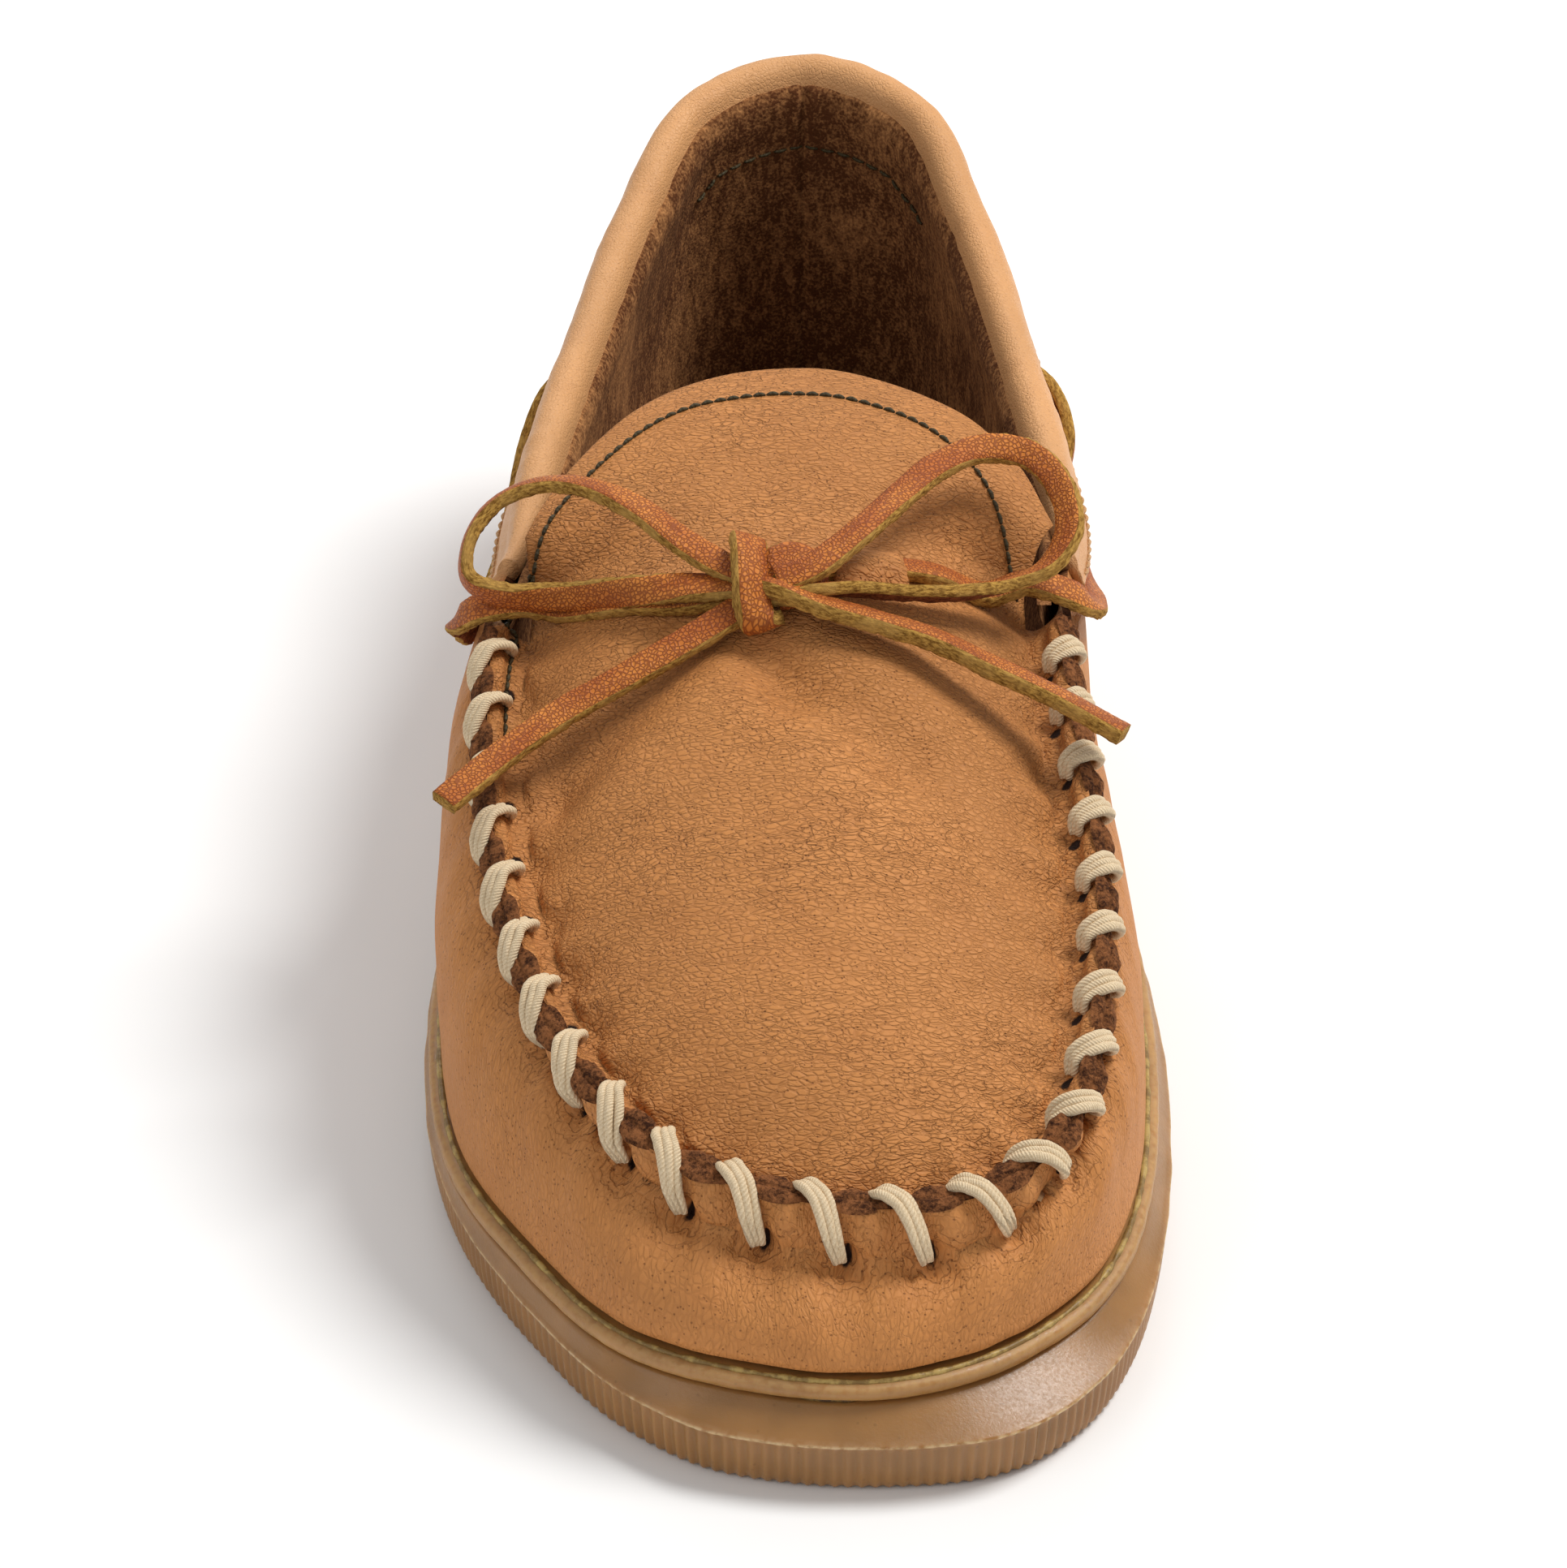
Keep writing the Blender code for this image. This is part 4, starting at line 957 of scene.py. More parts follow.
RIB_PITCH = 1.9
RIB_DEPTH = 0.65
RIB_STEPS = 6
RIB_FOOT = 0.16  # how far the ribs' feet scallop the lower edge
WORN_LEVEL = 8.05  # the crease between the ribs and the sloping band
TREAD_PITCH, TREAD_STEP, TREAD_COLUMNS = 5.2, 0.65, 150
TREAD_DEPTH, TREAD_INSET = 1.4, 5.5
RIM_STEPS = 1100
OUTSOLE_ROWS = [  # height, plain inset, share of the way in to the rim, share of the ribs' depth
    (0.55, 8, 0, 0), (0.05, 6.5, 0, 0), (0, 4, 0, 0), (0, 2.0, 0, 0), (0.12, 1.35, 0, 0.5),
    (0.6, 0.95, 0, 1), (1.6, 0.65, 0, 1), (3, 0.42, 0, 1), (4.6, 0.25, 0, 1), (6.2, 0.12, 0, 1),
    (7.2, 0.08, 0, 0.9), (7.7, 0.06, 0, 0.4), (7.95, -0.04, 0, 0), (8.15, -0.06, 0, 0), (8.35, 0.05, 0.03, 0),
    (8.7, 0.2, 0.16, 0), (9.3, 0.28, 0.36, 0), (10.1, 0.3, 0.6, 0), (10.9, 0.3, 0.83, 0),
    (11.5, 0.34, 0.98, 0), (OUTSOLE_TOP, 0.7, 1, 0), (11.7, 3.5, 1, 0)]
RIM_ROWS = [  # height, inset from the rim's widest line
    (12.2, 6), (12.15, 2), (12.2, 0.7), (12.45, 0.2), (12.95, 0), (13.6, -0.02), (14.1, 0.12), (14.45, 0.5),
    (14.62, 1.1), (14.66, 2.2), (14.6, 5)]
RIM_WEAR = [0, 0, 0, 0.1, 0.2, 0.2, 0.3, 0.5, 0.3, 0, 0]
GLUE_ROWS = [(11.6, 3), (11.75, 1.3), (12.1, 1.1), (12.5, 1.2), (12.7, 3)]


def even_loop(points, count):
    """A closed level line with count points spaced evenly round it."""
    closed = np.vstack([points, points[:1]])
    return resample(closed, count + 1)[:-1]


def distance_to_line(points, line):
    """Distance from each point to a closed line; points go in batches to hold memory down."""
    start, along = line, np.roll(line, -1, axis=0) - line
    reach = np.empty(len(points))
    for k in range(0, len(points), 200):
        gap = points[k:k + 200, None] - start[None]
        t = np.clip((gap * along).sum(2) / np.maximum((along * along).sum(1), 1e-12), 0, 1)
        reach[k:k + 200] = np.linalg.norm(gap - along * t[..., None], axis=2).min(axis=1)
    return reach


def build_outsole(material, outline, rim):
    """Ribbed side band with a scalloped foot, and the band above it that slopes in to the rim."""
    length = np.linalg.norm(outline - np.roll(outline, 1, axis=0), axis=1).sum()
    ribs = round(length / RIB_PITCH)
    loop = even_loop(outline, ribs * RIB_STEPS)
    out = level_normals(loop)
    slope = distance_to_line(loop, rim) - RIM_OVERHANG
    wave = np.cos(2 * np.pi * np.arange(len(loop)) / RIB_STEPS)
    fade = 0.7 + 0.3 * roughness_field(loop, 30, 20)
    rows, wear = [], []
    for height, inset, share, rib in OUTSOLE_ROWS:
        z = np.full(len(loop), float(height))
        z += (RIB_FOOT - RIB_FOOT * wave) * (1 if height < 0.6 and rib > 0 else 0)
        depth = inset + share * slope + RIB_DEPTH * rib * (0.5 - 0.5 * wave) * fade
        depth = depth + (0.12 * roughness_field(loop, 7, 21) if 7.5 < height < 8.4 else 0)
        rows.append(loop - out * depth[:, None] + UP * z[:, None])
        wear.append(np.full(len(loop), float(bell(height - WORN_LEVEL, 0.22))))
    mesh = grid_mesh("outsole_rubber", rows, closed_columns=True)
    add_value(mesh, "wear", np.array(wear))
    sole = finish_mesh("outsole_rubber", mesh, [material], "shoe")
    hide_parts("outsole")


def build_tread(material, outline):
    """Wavy bars moulded in the underside."""
    edge = outline - level_normals(outline) * TREAD_INSET
    low, high = edge[:, 1].min() + 0.2, edge[:, 1].max() - 0.2
    rows = []
    for y in np.arange(low, high, TREAD_STEP):
        crossing = (edge[:, 1] - y) * (np.roll(edge[:, 1], -1) - y) <= 0
        xs = edge[crossing][:, 0]
        x = np.linspace(xs.min(), xs.max(), TREAD_COLUMNS)
        wave = (y + 2.4 * np.sin(x / 5.2)) / TREAD_PITCH
        bar = ease((np.abs((wave % 1) - 0.5) - 0.16) / 0.1)
        centre = ease((np.abs(x) - 1.0) / 0.8)
        z = TREAD_DEPTH - TREAD_DEPTH * bar * centre
        z[[0, -1]] = 2.2
        rows.append(np.column_stack([x, np.full(TREAD_COLUMNS, y), z]))
    mesh = grid_mesh("tread", rows)
    add_value(mesh, "wear", np.zeros(len(rows) * TREAD_COLUMNS))
    finish_mesh("tread", mesh, [material], "shoe")


def build_rim(material, rim):
    """The thin welt-like rim over the recessed glue gap, which is painted dark as glue and as shade."""
    loop = even_loop(rim, RIM_STEPS)
    out = level_normals(loop)
    front = np.clip(-out[:, 1], 0, 1) ** 2
    lift = 0.3 * front * (0.6 + 0.6 * roughness_field(loop, 14, 22))
    rows = []
    for height, inset in RIM_ROWS:
        low = ease((13.4 - height) / 1.2)
        ripple = roughness(loop, (0.1, 12, 23), (0.06, 3, 24))
        beside = loop + out * (RIM_OVERHANG - inset + ripple)[:, None]
        rows.append(beside + UP * (height + lift * low)[:, None])
    mesh = grid_mesh("rim_strip", rows, closed_columns=True)
    add_value(mesh, "wear", np.repeat(RIM_WEAR, len(loop)))
    strip = finish_mesh("rim_strip", mesh, [material], "shoe")
    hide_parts("midsole")


def build_glue(glue_and_shade_material, bead_material, rim):
    """The recessed glue line under the rim, painted dark as glue and as the shade under the rim, and the bead
    where the leather meets it.
    """
    loop = even_loop(rim, RIM_STEPS)
    out = level_normals(loop)
    wobble = roughness(loop, (0.3, 5, 25), (0.2, 1.6, 26))
    rows = [loop + out * (RIM_OVERHANG - inset + wobble)[:, None] + UP * z for z, inset in GLUE_ROWS]
    # the gap's dark colour is glue and painted shade in the recess under the rim
    mesh = grid_mesh("shaded_glue_gap", rows, closed_columns=True)
    finish_mesh("shaded_glue_gap", mesh, [glue_and_shade_material], "shoe")
    size = 0.42 + 0.16 * roughness_field(loop, 6, 27) + 0.1 * roughness_field(loop, 1.5, 28)
    rows = []
    for angle in np.linspace(-0.2, 0.75, 6) * math.pi:
        reach = 0.25 + math.cos(angle) * size
        rows.append(loop + out * reach[:, None] + UP * (MIDSOLE_TOP + 0.1 + math.sin(angle) * size)[:, None])
    mesh = grid_mesh("glue_bead", rows, closed_columns=True)
    finish_mesh("glue_bead", mesh, [bead_material], "shoe")


# ---------------------------------------------------------------- the thong

STRIP_SECTION = [  # across and up, as shares of the half width and of the half thickness
    (-0.93, 0.9), (-0.5, 1.02), (0, 1.05), (0.5, 1.02), (0.93, 0.9), (1.02, 0.5), (1.04, 0), (1.0, -0.55),
    (0.9, -0.95), (0.45, -1.0), (0, -1.02), (-0.45, -1.0), (-0.9, -0.95), (-1.0, -0.55), (-1.04, 0),
    (-1.02, 0.5)]
STRIP_STEP = 0.55
GRAIN_SEGMENTS = 4
FLESH_SEGMENTS = slice(8, 12)


def strip(name, points, faces, materials, body, seed, replaces=(),
          width=LACE_WIDTH, thickness=LACE_THICKNESS):
    """A flat leather strip along a route, grain side towards the faces, with fibrous edges.

    The materials are its grain side's, its cut edges' and its flesh side's.
    """
    route = smooth_curve(points, False, 14)
    length = run_along(route)[-1]
    count = max(12, round(length / STRIP_STEP))
    route = resample(route, count)
    face = evenly_mixed(faces, count)
    tangent = unit(np.gradient(route, axis=0))
    across = unit(np.cross(tangent, face))
    grain = np.cross(across, tangent)
    section = np.array(STRIP_SECTION) * [width / 2, thickness / 2]
    rows = route[:, None] + across[:, None] * section[None, :, 0:1] + grain[:, None] * section[None, :, 1:2]
    fibre = roughness(rows, (0.16, 0.7, seed), (0.12, 2.2, seed + 1))
    fibre[:, :GRAIN_SEGMENTS + 1] *= 0.25
    soft = 0.12 * roughness_field(route, 8, seed + 2)[:, None]
    rows += unit(rows - route[:, None]) * (fibre + soft)[..., None]
    mesh = grid_mesh(name, rows, closed_columns=True, caps=True, flip=True)
    kinds = np.ones(len(mesh.polygons), int)
    around = np.ones(len(section), int)
    around[:GRAIN_SEGMENTS] = 0
    around[FLESH_SEGMENTS] = 2
    kinds[:(count - 1) * len(section)] = np.tile(around, count - 1)
    mesh.polygons.foreach_set("material_index", kinds)
    run = np.linspace(0, length, count)
    places = np.stack([np.broadcast_to(run[:, None] + seed * 9, rows.shape[:2]),
                       np.broadcast_to(section[None, :, 0], rows.shape[:2]),
                       np.broadcast_to(section[None, :, 1], rows.shape[:2])], axis=-1)
    thing = finish_mesh(name, mesh, materials, body, places=places)
    if replaces:
        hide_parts(*replaces)
    return thing, route, length


COLLAR_TUNNEL = [(1.9, -11.8), (2.2, -12.4), (5.0, -6.6), (4.4, -3.6), (0.6, -2.8)]  # out and up
UPWARD = (0, 0, 1)


def into_collar(stations):
    """Points beside the quarter that rise to the collar's slit and end inside the roll."""
    return [tuple(beside_wall(quarter_faces(i)[0], i[0], out, up))
            for i, (out, up) in zip([samples(station, station) for station in stations], COLLAR_TUNNEL)]


def build_side_runs(tree, base, materials):
    """The thong from the knot to the collar on each side; the medial run dips under the keeper."""
    knot_x, knot_y = KNOT_CENTRE

    def on_leather(points, lift):
        return [tuple(point) for point in laid(tree, points, lift)[0]]

    route = [(knot_x - 1.5, knot_y - 1.5, base + 1.4)]
    route += on_leather([(-15.7, -20.9), (-24.1, -18.8), (-33.9, -12.8)], 1.2)
    route += [(-41, -12.6, 64.2), (-46.6, -12.4, 63.2), (-50, -9.6, 59.4), (-50, -3, 54.6)]
    route += into_collar((5, 4.33, 3.67, 3.4, 3.15))
    faces = [UPWARD, (0, -0.3, 1), (-0.1, -0.5, 1), (-0.2, -0.5, 1), (-0.2, -0.6, 0.8), (-0.5, -0.5, 0.8),
             (-1, -0.2, 0.4), (-1, 0.05, 0)]
    faces += [(-1, 0, 0)] * 4
    strip("side_run_lateral", route, faces, materials, "shoe", seed=31, replaces=["lace_side_lateral"])

    route = [(knot_x + 2, knot_y - 1, base + 1.4)] + on_leather([(2.8, -17.8)], 1.3)
    hidden = [(5.5, -15.9), (9.5, -14.4), (13.5, -13.0)]
    route += [(x, y, z - 2.2) for x, y, z in on_leather(hidden, 0)]
    route += on_leather([(20, -10.6), (27, -8.6)], 1.3)
    route += [(34, -7.6, 65.0), (39.6, -7.2, 63.2), (43, -4.8, 59.8), (44.2, 2, 55)]
    route += into_collar((19.33, 20, 20.33, 20.6, 20.85))
    faces = [UPWARD, UPWARD, (0, 0, 1), (0.1, 0, 1), (0.2, -0.1, 1), (0.2, -0.4, 1), (0.2, -0.5, 1),
             (0.3, -0.5, 1), (0.6, -0.4, 0.8), (1, 0, 0.4), (1, 0.05, 0)]
    faces += [(1, 0, 0)] * 4
    strip("side_run_medial", route, faces, materials, "shoe", seed=34, replaces=["lace_side_medial"])


def build_loops(materials):
    """The bow's two loops, each from the knot round and back."""
    loop = strip(
        "loop_lateral",
        [(-6.5, -22.8, 75.2), (-10.4, -21.1, 75.8), (-16.9, -16.9, 77.6), (-23, -10.8, 79), (-29.1, -6, 79.5),
         (-35.2, -3, 79), (-41.2, -2.8, 77.6), (-46, -5.2, 75.2), (-48.6, -9.2, 71.8), (-48.4, -12.8, 68.6),
         (-44, -14.2, 66.8), (-34, -14.8, 66.8), (-24, -20.4, 71.2), (-15.7, -22.6, 73.2), (-8, -24, 74)],
        [(0.2, -0.45, 0.88), (0.3, -0.5, 0.85), (0.25, -0.4, 0.88), (0.2, -0.15, 0.97), (0.1, 0.15, 1),
         (-0.1, 0.33, 0.94), (-0.5, 0.35, 0.8), (-0.95, 0, 0.3), (-0.97, -0.2, 0), (-0.6, -0.75, -0.2),
         (0, -0.98, 0.1), (0, -0.95, 0.3), (0, -0.85, 0.5), (0, -0.3, 0.95), UPWARD],
        materials, "bow_lateral", seed=37, replaces=["bow_loop_lateral"])
    loop = strip(
        "loop_medial",
        [(-3, -24.5, 75.6), (2, -23.2, 77), (9.1, -17, 79.5), (15, -8.8, 80.5), (21.1, -0.3, 81),
         (27.7, 4.3, 81), (34.4, 3.9, 80), (39, -2, 77.6), (39.8, -8.4, 74.2), (36.8, -12.6, 71),
         (30.9, -14.5, 68.9), (23.7, -18, 69.7), (15.3, -21, 71.5), (8.1, -22.7, 73.2), (2.7, -24.3, 73.9),
         (-3, -25, 74)],
        [(-0.3, -0.49, 0.8), (-0.3, -0.49, 0.8), (-0.3, -0.49, 0.8), (-0.25, -0.4, 0.87), (0, -0.25, 0.97),
         (0.1, -0.3, 0.95), (0.3, -0.55, 0.75), (0.1, -0.85, 0.5), (-0.5, -0.71, 0.47), (-0.56, -0.05, 0.8),
         (-0.1, 0.45, 0.9), (0, 0.7, 0.7), (0, 0.7, 0.7), (0, 0.7, 0.7), (0, 0.6, 0.8), (0, 0.5, 0.8)],
        materials, "bow_medial", seed=40, replaces=["bow_loop_medial"])


def build_tails(materials):
    """The thong's two free ends, lying on the plug."""
    tail = strip(
        "tail_lateral",
        [(-6.5, -25, 72.6), (-10.5, -28.2, 71.4), (-17, -31.6, 68.8), (-25, -35, 65.4), (-33.7, -38.9, 62),
         (-42, -45.6, 59.2), (-50.2, -54.2, 56.6)],
        [(-0.2, -0.46, 0.85)] * 7, materials, "shoe", seed=43, replaces=["lace_tail_lateral"])
    tail = strip(
        "tail_medial",
        [(-6, -24, 74.4), (-3, -25.4, 75), (3.3, -27.6, 73.4), (11.7, -29.2, 71.6), (20, -30.6, 69.4),
         (28.4, -33.6, 66.6), (36.8, -36.4, 63.8), (47, -41.5, 60.4)],
        [(0.4, 0.15, 0.9)] * 8, materials, "shoe", seed=46, replaces=["lace_tail_medial"], thickness=2.5)


def build_knot(base, materials):
    """The turn across the knot, the fold beside it and the core that they cover."""
    strip(
        "knot_wrap",
        [(-6, -19, base + 1.4), (-6.9, -16.8, base + 3.6), (-7.3, -17.4, base + 6), (-7.2, -20.6, base + 7.2),
         (-7, -24.6, base + 5.8), (-6.6, -27.8, base + 2.4), (-5.4, -28.8, base - 0.6), (-4, -27, base - 1)],
        [(0.1, 1, -0.2), (0.2, 1, 0.1), (0.3, 0.6, 0.8), (0.5, 0, 1), (0.6, -0.6, 0.8), (0.6, -1, 0.2),
         (0.5, -0.7, -0.7), (0.4, -0.2, -1)],
        materials, "shoe", seed=49, replaces=["lace_knot"], width=5.2, thickness=2.4)
    strip(
        "knot_fold",
        [(-5, -23, base + 3.4), (-3.4, -21, base + 4.8), (-0.8, -20, base + 5.2), (1.8, -20.8, base + 4.4),
         (2.6, -22.6, base + 3.2), (1, -24.6, base + 2.4), (-2.8, -25.4, base + 2)],
        [(-0.5, -0.4, 1), (-0.4, -0.5, 1), (0, -0.5, 1), (0.6, -0.3, 0.8), (1, -0.4, 0.2), (0.5, -1, -0.2),
         (0.2, -1, 0)],
        materials, "shoe", seed=52, width=4.6)
    strip(
        "knot_core",
        [(-13, -22, base + 1), (-8.5, -23.4, base + 2), (-5, -24.4, base + 2.4), (-1, -24.6, base + 2.2),
         (3, -24.4, base + 1.4)],
        [UPWARD, (0, -0.4, 1), (0, -0.5, 1), (0, -0.4, 1), UPWARD], materials, "shoe", seed=55, width=5)


def build_lace(tree, materials):
    """Two side runs, two bow loops, two tails and the turns of the knot."""
    base = laid(tree, [KNOT_CENTRE])[0][0][2]
    build_side_runs(tree, base, materials)
    build_loops(materials)
    build_tails(materials)
    build_knot(base, materials)


# ---------------------------------------------------------------- materials

class Look:
    """One procedural material; its patterns are laid out in millimetres on the piece at rest."""

    def __init__(self, name, roughness, specular=0.5, on_node=False):
        self.material = bpy.data.materials.new(name)
        self.material.use_nodes = True
        self.tree = self.material.node_tree
        self.shader = self.tree.nodes["Principled BSDF"]
        self.set("Roughness", roughness)
        self.set("Specular IOR Level", specular)
        self.on_node = on_node

    def add(self, kind, inputs=None, **settings):
        node = self.tree.nodes.new(kind)
        for key, value in settings.items():
            setattr(node, key, value)
        for key, value in (inputs or {}).items():
            self.feed(node.inputs[key], value)
        return node

    def feed(self, socket, value):
        if isinstance(value, bpy.types.NodeSocket):
            self.tree.links.new(value, socket)
        else:
            socket.default_value = value

    def set(self, name, value):
        self.feed(self.shader.inputs[name], value)

    def stretched(self, where, stretch):
        return self.add("ShaderNodeVectorMath", {0: where, 1: stretch}, operation="MULTIPLY").outputs[0]

    def rest(self, stretch=(1, 1, 1)):
        """Places in millimetres on the piece at rest, from its stored places or, on a CAD node, its frame."""
        if self.on_node:
            source = self.add("ShaderNodeTexCoord").outputs["Object"]
            stretch = [1000 * s for s in stretch]
        else:
            source = self.add("ShaderNodeAttribute", attribute_name="rest").outputs["Vector"]
        return self.stretched(source, stretch)

    def value(self, name):
        return self.add("ShaderNodeAttribute", attribute_name=name).outputs["Fac"]

    def noise(self, where, size, detail=2.0, roughness=0.5):
        inputs = {"Vector": where, "Scale": 1 / size, "Detail": detail, "Roughness": roughness}
        return self.add("ShaderNodeTexNoise", inputs).outputs["Fac"]

    def cells(self, where, size, feature="F1"):
        node = self.add("ShaderNodeTexVoronoi", {"Vector": where, "Scale": 1 / size}, feature=feature)
        return node.outputs["Distance"]

    def warp(self, where, size, amount):
        drift = self.add("ShaderNodeTexNoise", {"Vector": where, "Scale": 1 / size, "Detail": 1.0})
        centred = self.add("ShaderNodeVectorMath", {0: drift.outputs["Color"], 1: (0.5, 0.5, 0.5)},
                           operation="SUBTRACT")
        moved = self.add("ShaderNodeVectorMath", {0: centred.outputs[0], 1: (amount,) * 3, 2: where},
                         operation="MULTIPLY_ADD")
        return moved.outputs[0]

    def math(self, operation, a, b=0.0, c=0.0):
        return self.add("ShaderNodeMath", {0: a, 1: b, 2: c}, operation=operation).outputs[0]

    def span(self, value, low, high, start=0.0, end=1.0):
        """Value carried smoothly from low..high to start..end, and held beyond."""
        inputs = {"Value": value, "From Min": low, "From Max": high, "To Min": start, "To Max": end}
        return self.add("ShaderNodeMapRange", inputs, interpolation_type="SMOOTHSTEP").outputs["Result"]

    def total(self, *values):
        result = values[0]
        for value in values[1:]:
            result = self.math("ADD", result, value)
        return result

    def times(self, a, b):
        return self.math("MULTIPLY", a, b)

    def crease(self, way, size, width):
        """Long thin wandering lines, where a smooth noise passes through its middle."""
        off = self.math("ABSOLUTE", self.math("SUBTRACT", self.noise(way, size, 1.0, 0.5), 0.5))
        return self.span(off, width, 0.0)

    def mixed(self, share, a, b):
        node = self.add("ShaderNodeMix", {"Factor": share}, data_type="RGBA")
        self.feed(node.inputs[6], (*a, 1) if isinstance(a, tuple) else a)
        self.feed(node.inputs[7], (*b, 1) if isinstance(b, tuple) else b)
        return node.outputs[2]

    def bump(self, height, distance, strength, normal=None):
        inputs = {"Height": height, "Distance": distance * MM, "Strength": strength}
        if normal is not None:
            inputs["Normal"] = normal
        return self.add("ShaderNodeBump", inputs).outputs["Normal"]

    def done(self, colour, normal=None):
        self.set("Base Color", colour)
        if normal is not None:
            self.set("Normal", normal)
        return self.material


# Painted shade inside the stitch holes, near black.
HOLE_SHADE_COLOUR = (0.018, 0.007, 0.004)
PLIES = 5


def toned(colour, share):
    """The same colour, darker or lighter."""
    return tuple(c * share for c in colour)


def leather_look(name, base, dark, pores, pebble, creases, roughness,
                 flow="rest", stretch=(1, 1, 1), holes=False):
    """Full-grain leather: pores, fine pebble, and long wandering creases that follow the flow; painted shade
    darkens its pores, creases and the gaps between pebbles.
    """
    look = Look(name, roughness, specular=0.25)
    place = look.rest()
    way = look.add("ShaderNodeAttribute", attribute_name=flow).outputs["Vector"]
    way = look.stretched(look.warp(way, 5, 1.5), stretch)
    cell = look.span(look.cells(look.warp(way, 2.5, 0.8), 0.7, "DISTANCE_TO_EDGE"), 0.0, 0.22)
    pore_mask = look.span(look.noise(place, 16, 2), 0.28, 0.55, 0.5, 1)
    pore = look.times(look.span(look.cells(place, 0.85), 0.22, 0.1), pore_mask)
    patch = look.span(look.noise(place, 19, 2), 0.32, 0.66, 0.15, 1)
    lines = [look.crease(way, size, width) for size, width in ((2.2, 0.02), (1.2, 0.03))]
    lines = look.math("MAXIMUM", lines[0], look.times(lines[1], 0.7))
    lines = look.times(lines, look.times(patch, creases))
    fine = look.noise(place, 0.4, 2)
    height = look.total(look.times(cell, pebble), look.times(pore, -1.1 * pores), look.times(lines, -1.6),
                        look.times(fine, 0.2))
    # painted shade: pores, creases and the gaps between pebbles are painted darker
    shade = look.total(look.times(pore, 0.75 * pores), look.times(lines, 0.22),
                       look.times(look.math("SUBTRACT", 1.0, cell), 0.24 * pebble))
    if holes:
        ring = look.value("ring")
        rings = look.times(ring, 3.6)
        wander = look.times(look.noise(place, 2.6, 2), 22.0)
        wave = look.math("SINE", look.total(rings, wander))
        # near: rings of creases round the stitch holes, dented and painted darker as painted shade
        near = look.times(look.span(wave, 0.8, 1.0), look.span(ring, 9.0, 1.5))
        height = look.total(height, look.times(near, -1.5))
        shade = look.total(shade, look.times(near, 0.34))
    colour = look.mixed(look.span(look.noise(place, 38, 2), 0.3, 0.7), toned(base, 0.93), toned(base, 1.1))
    mottle = look.span(look.noise(place, 7, 3), 0.4, 0.75, 0, 0.35)
    colour = look.mixed(mottle, colour, tuple(c * k for c, k in zip(base, (0.9, 0.84, 0.8))))
    # the painted shade mixes the colour towards the dark one
    colour = look.mixed(look.math("MINIMUM", shade, 0.85), colour, dark)
    if holes:
        # the stitch holes painted near black: painted shade in the holes, with ragged borders
        hole_shade = look.total(look.value("hole"), look.times(look.noise(place, 0.7, 2), 0.35))
        colour = look.mixed(look.span(hole_shade, 0.62, 0.86), colour, HOLE_SHADE_COLOUR)
        look.set("Roughness", look.span(look.value("hole"), 0.3, 0.8, roughness, 0.95))
    return look.done(colour, look.bump(height, 0.24, 0.75))


def suede_look(name, base, light, on_node=False):
    """Napped suede, patchy where it has been brushed."""
    look = Look(name, 0.95, specular=0.15, on_node=on_node)
    look.set("Sheen Weight", 0.05)
    look.set("Sheen Roughness", 0.5)
    look.set("Sheen Tint", (0.8, 0.45, 0.25, 1))
    place = look.rest()
    nap = look.noise(look.rest((1, 1, 0.45)), 1.5, 4, 0.65)
    patch = look.noise(place, 24, 2)
    fine = look.noise(place, 0.5, 2)
    share = look.total(look.span(patch, 0.35, 0.7, 0.1, 0.5), look.span(nap, 0.35, 0.7, -0.2, 0.3),
                       look.span(fine, 0.35, 0.7, -0.2, 0.3))
    colour = look.mixed(look.math("MAXIMUM", share, 0.0), base, light)
    return look.done(colour, look.bump(look.total(nap, look.times(fine, 0.6)), 0.35, 0.8))


def cut_edge_look():
    """The dark fibrous edge of cut leather."""
    look = Look("cut_edge", 0.95, specular=0.1)
    place = look.rest()
    fibre = look.noise(place, 0.5, 4, 0.7)
    patch = look.noise(place, 2.2, 2)
    share = look.span(look.total(fibre, look.times(patch, 0.7)), 0.62, 1.1)
    colour = look.mixed(share, (0.035, 0.012, 0.006), (0.30, 0.115, 0.042))
    return look.done(colour, look.bump(fibre, 0.35, 1.0))


def fibre_look(name, size, dark, light, grit=0.65, low=0.35, strength=0.8, roughness=0.95, on_node=False):
    """Fibres of one size between two colours."""
    look = Look(name, roughness, specular=0.1, on_node=on_node)
    fibre = look.noise(look.rest(), size, 4, grit)
    colour = look.mixed(look.span(fibre, low, 0.7), dark, light)
    return look.done(colour, look.bump(fibre, 0.3, strength))


def inner_look(name, base, size):
    """For the layers inside the shoe, which stay as the part's own solids."""
    return fibre_look(name, size, toned(base, 0.7), base, roughness=0.9, on_node=True)


def lace_grain_look():
    """The thong's smooth side: small cells with dark gaps."""
    look = Look("lace_grain", 0.55, specular=0.25)
    place = look.rest()
    cell = look.span(look.cells(look.warp(place, 1.2, 0.5), 0.62, "DISTANCE_TO_EDGE"), 0.0, 0.26)
    tone = look.noise(look.rest((0.3, 1, 1)), 4.0, 3)
    colour = look.mixed(look.span(tone, 0.35, 0.68), (0.48, 0.13, 0.020), (0.70, 0.245, 0.045))
    colour = look.mixed(look.span(cell, 0.9, 0.1, 0, 0.7), colour, (0.17, 0.030, 0.007))
    return look.done(colour, look.bump(cell, 0.13, 0.8))


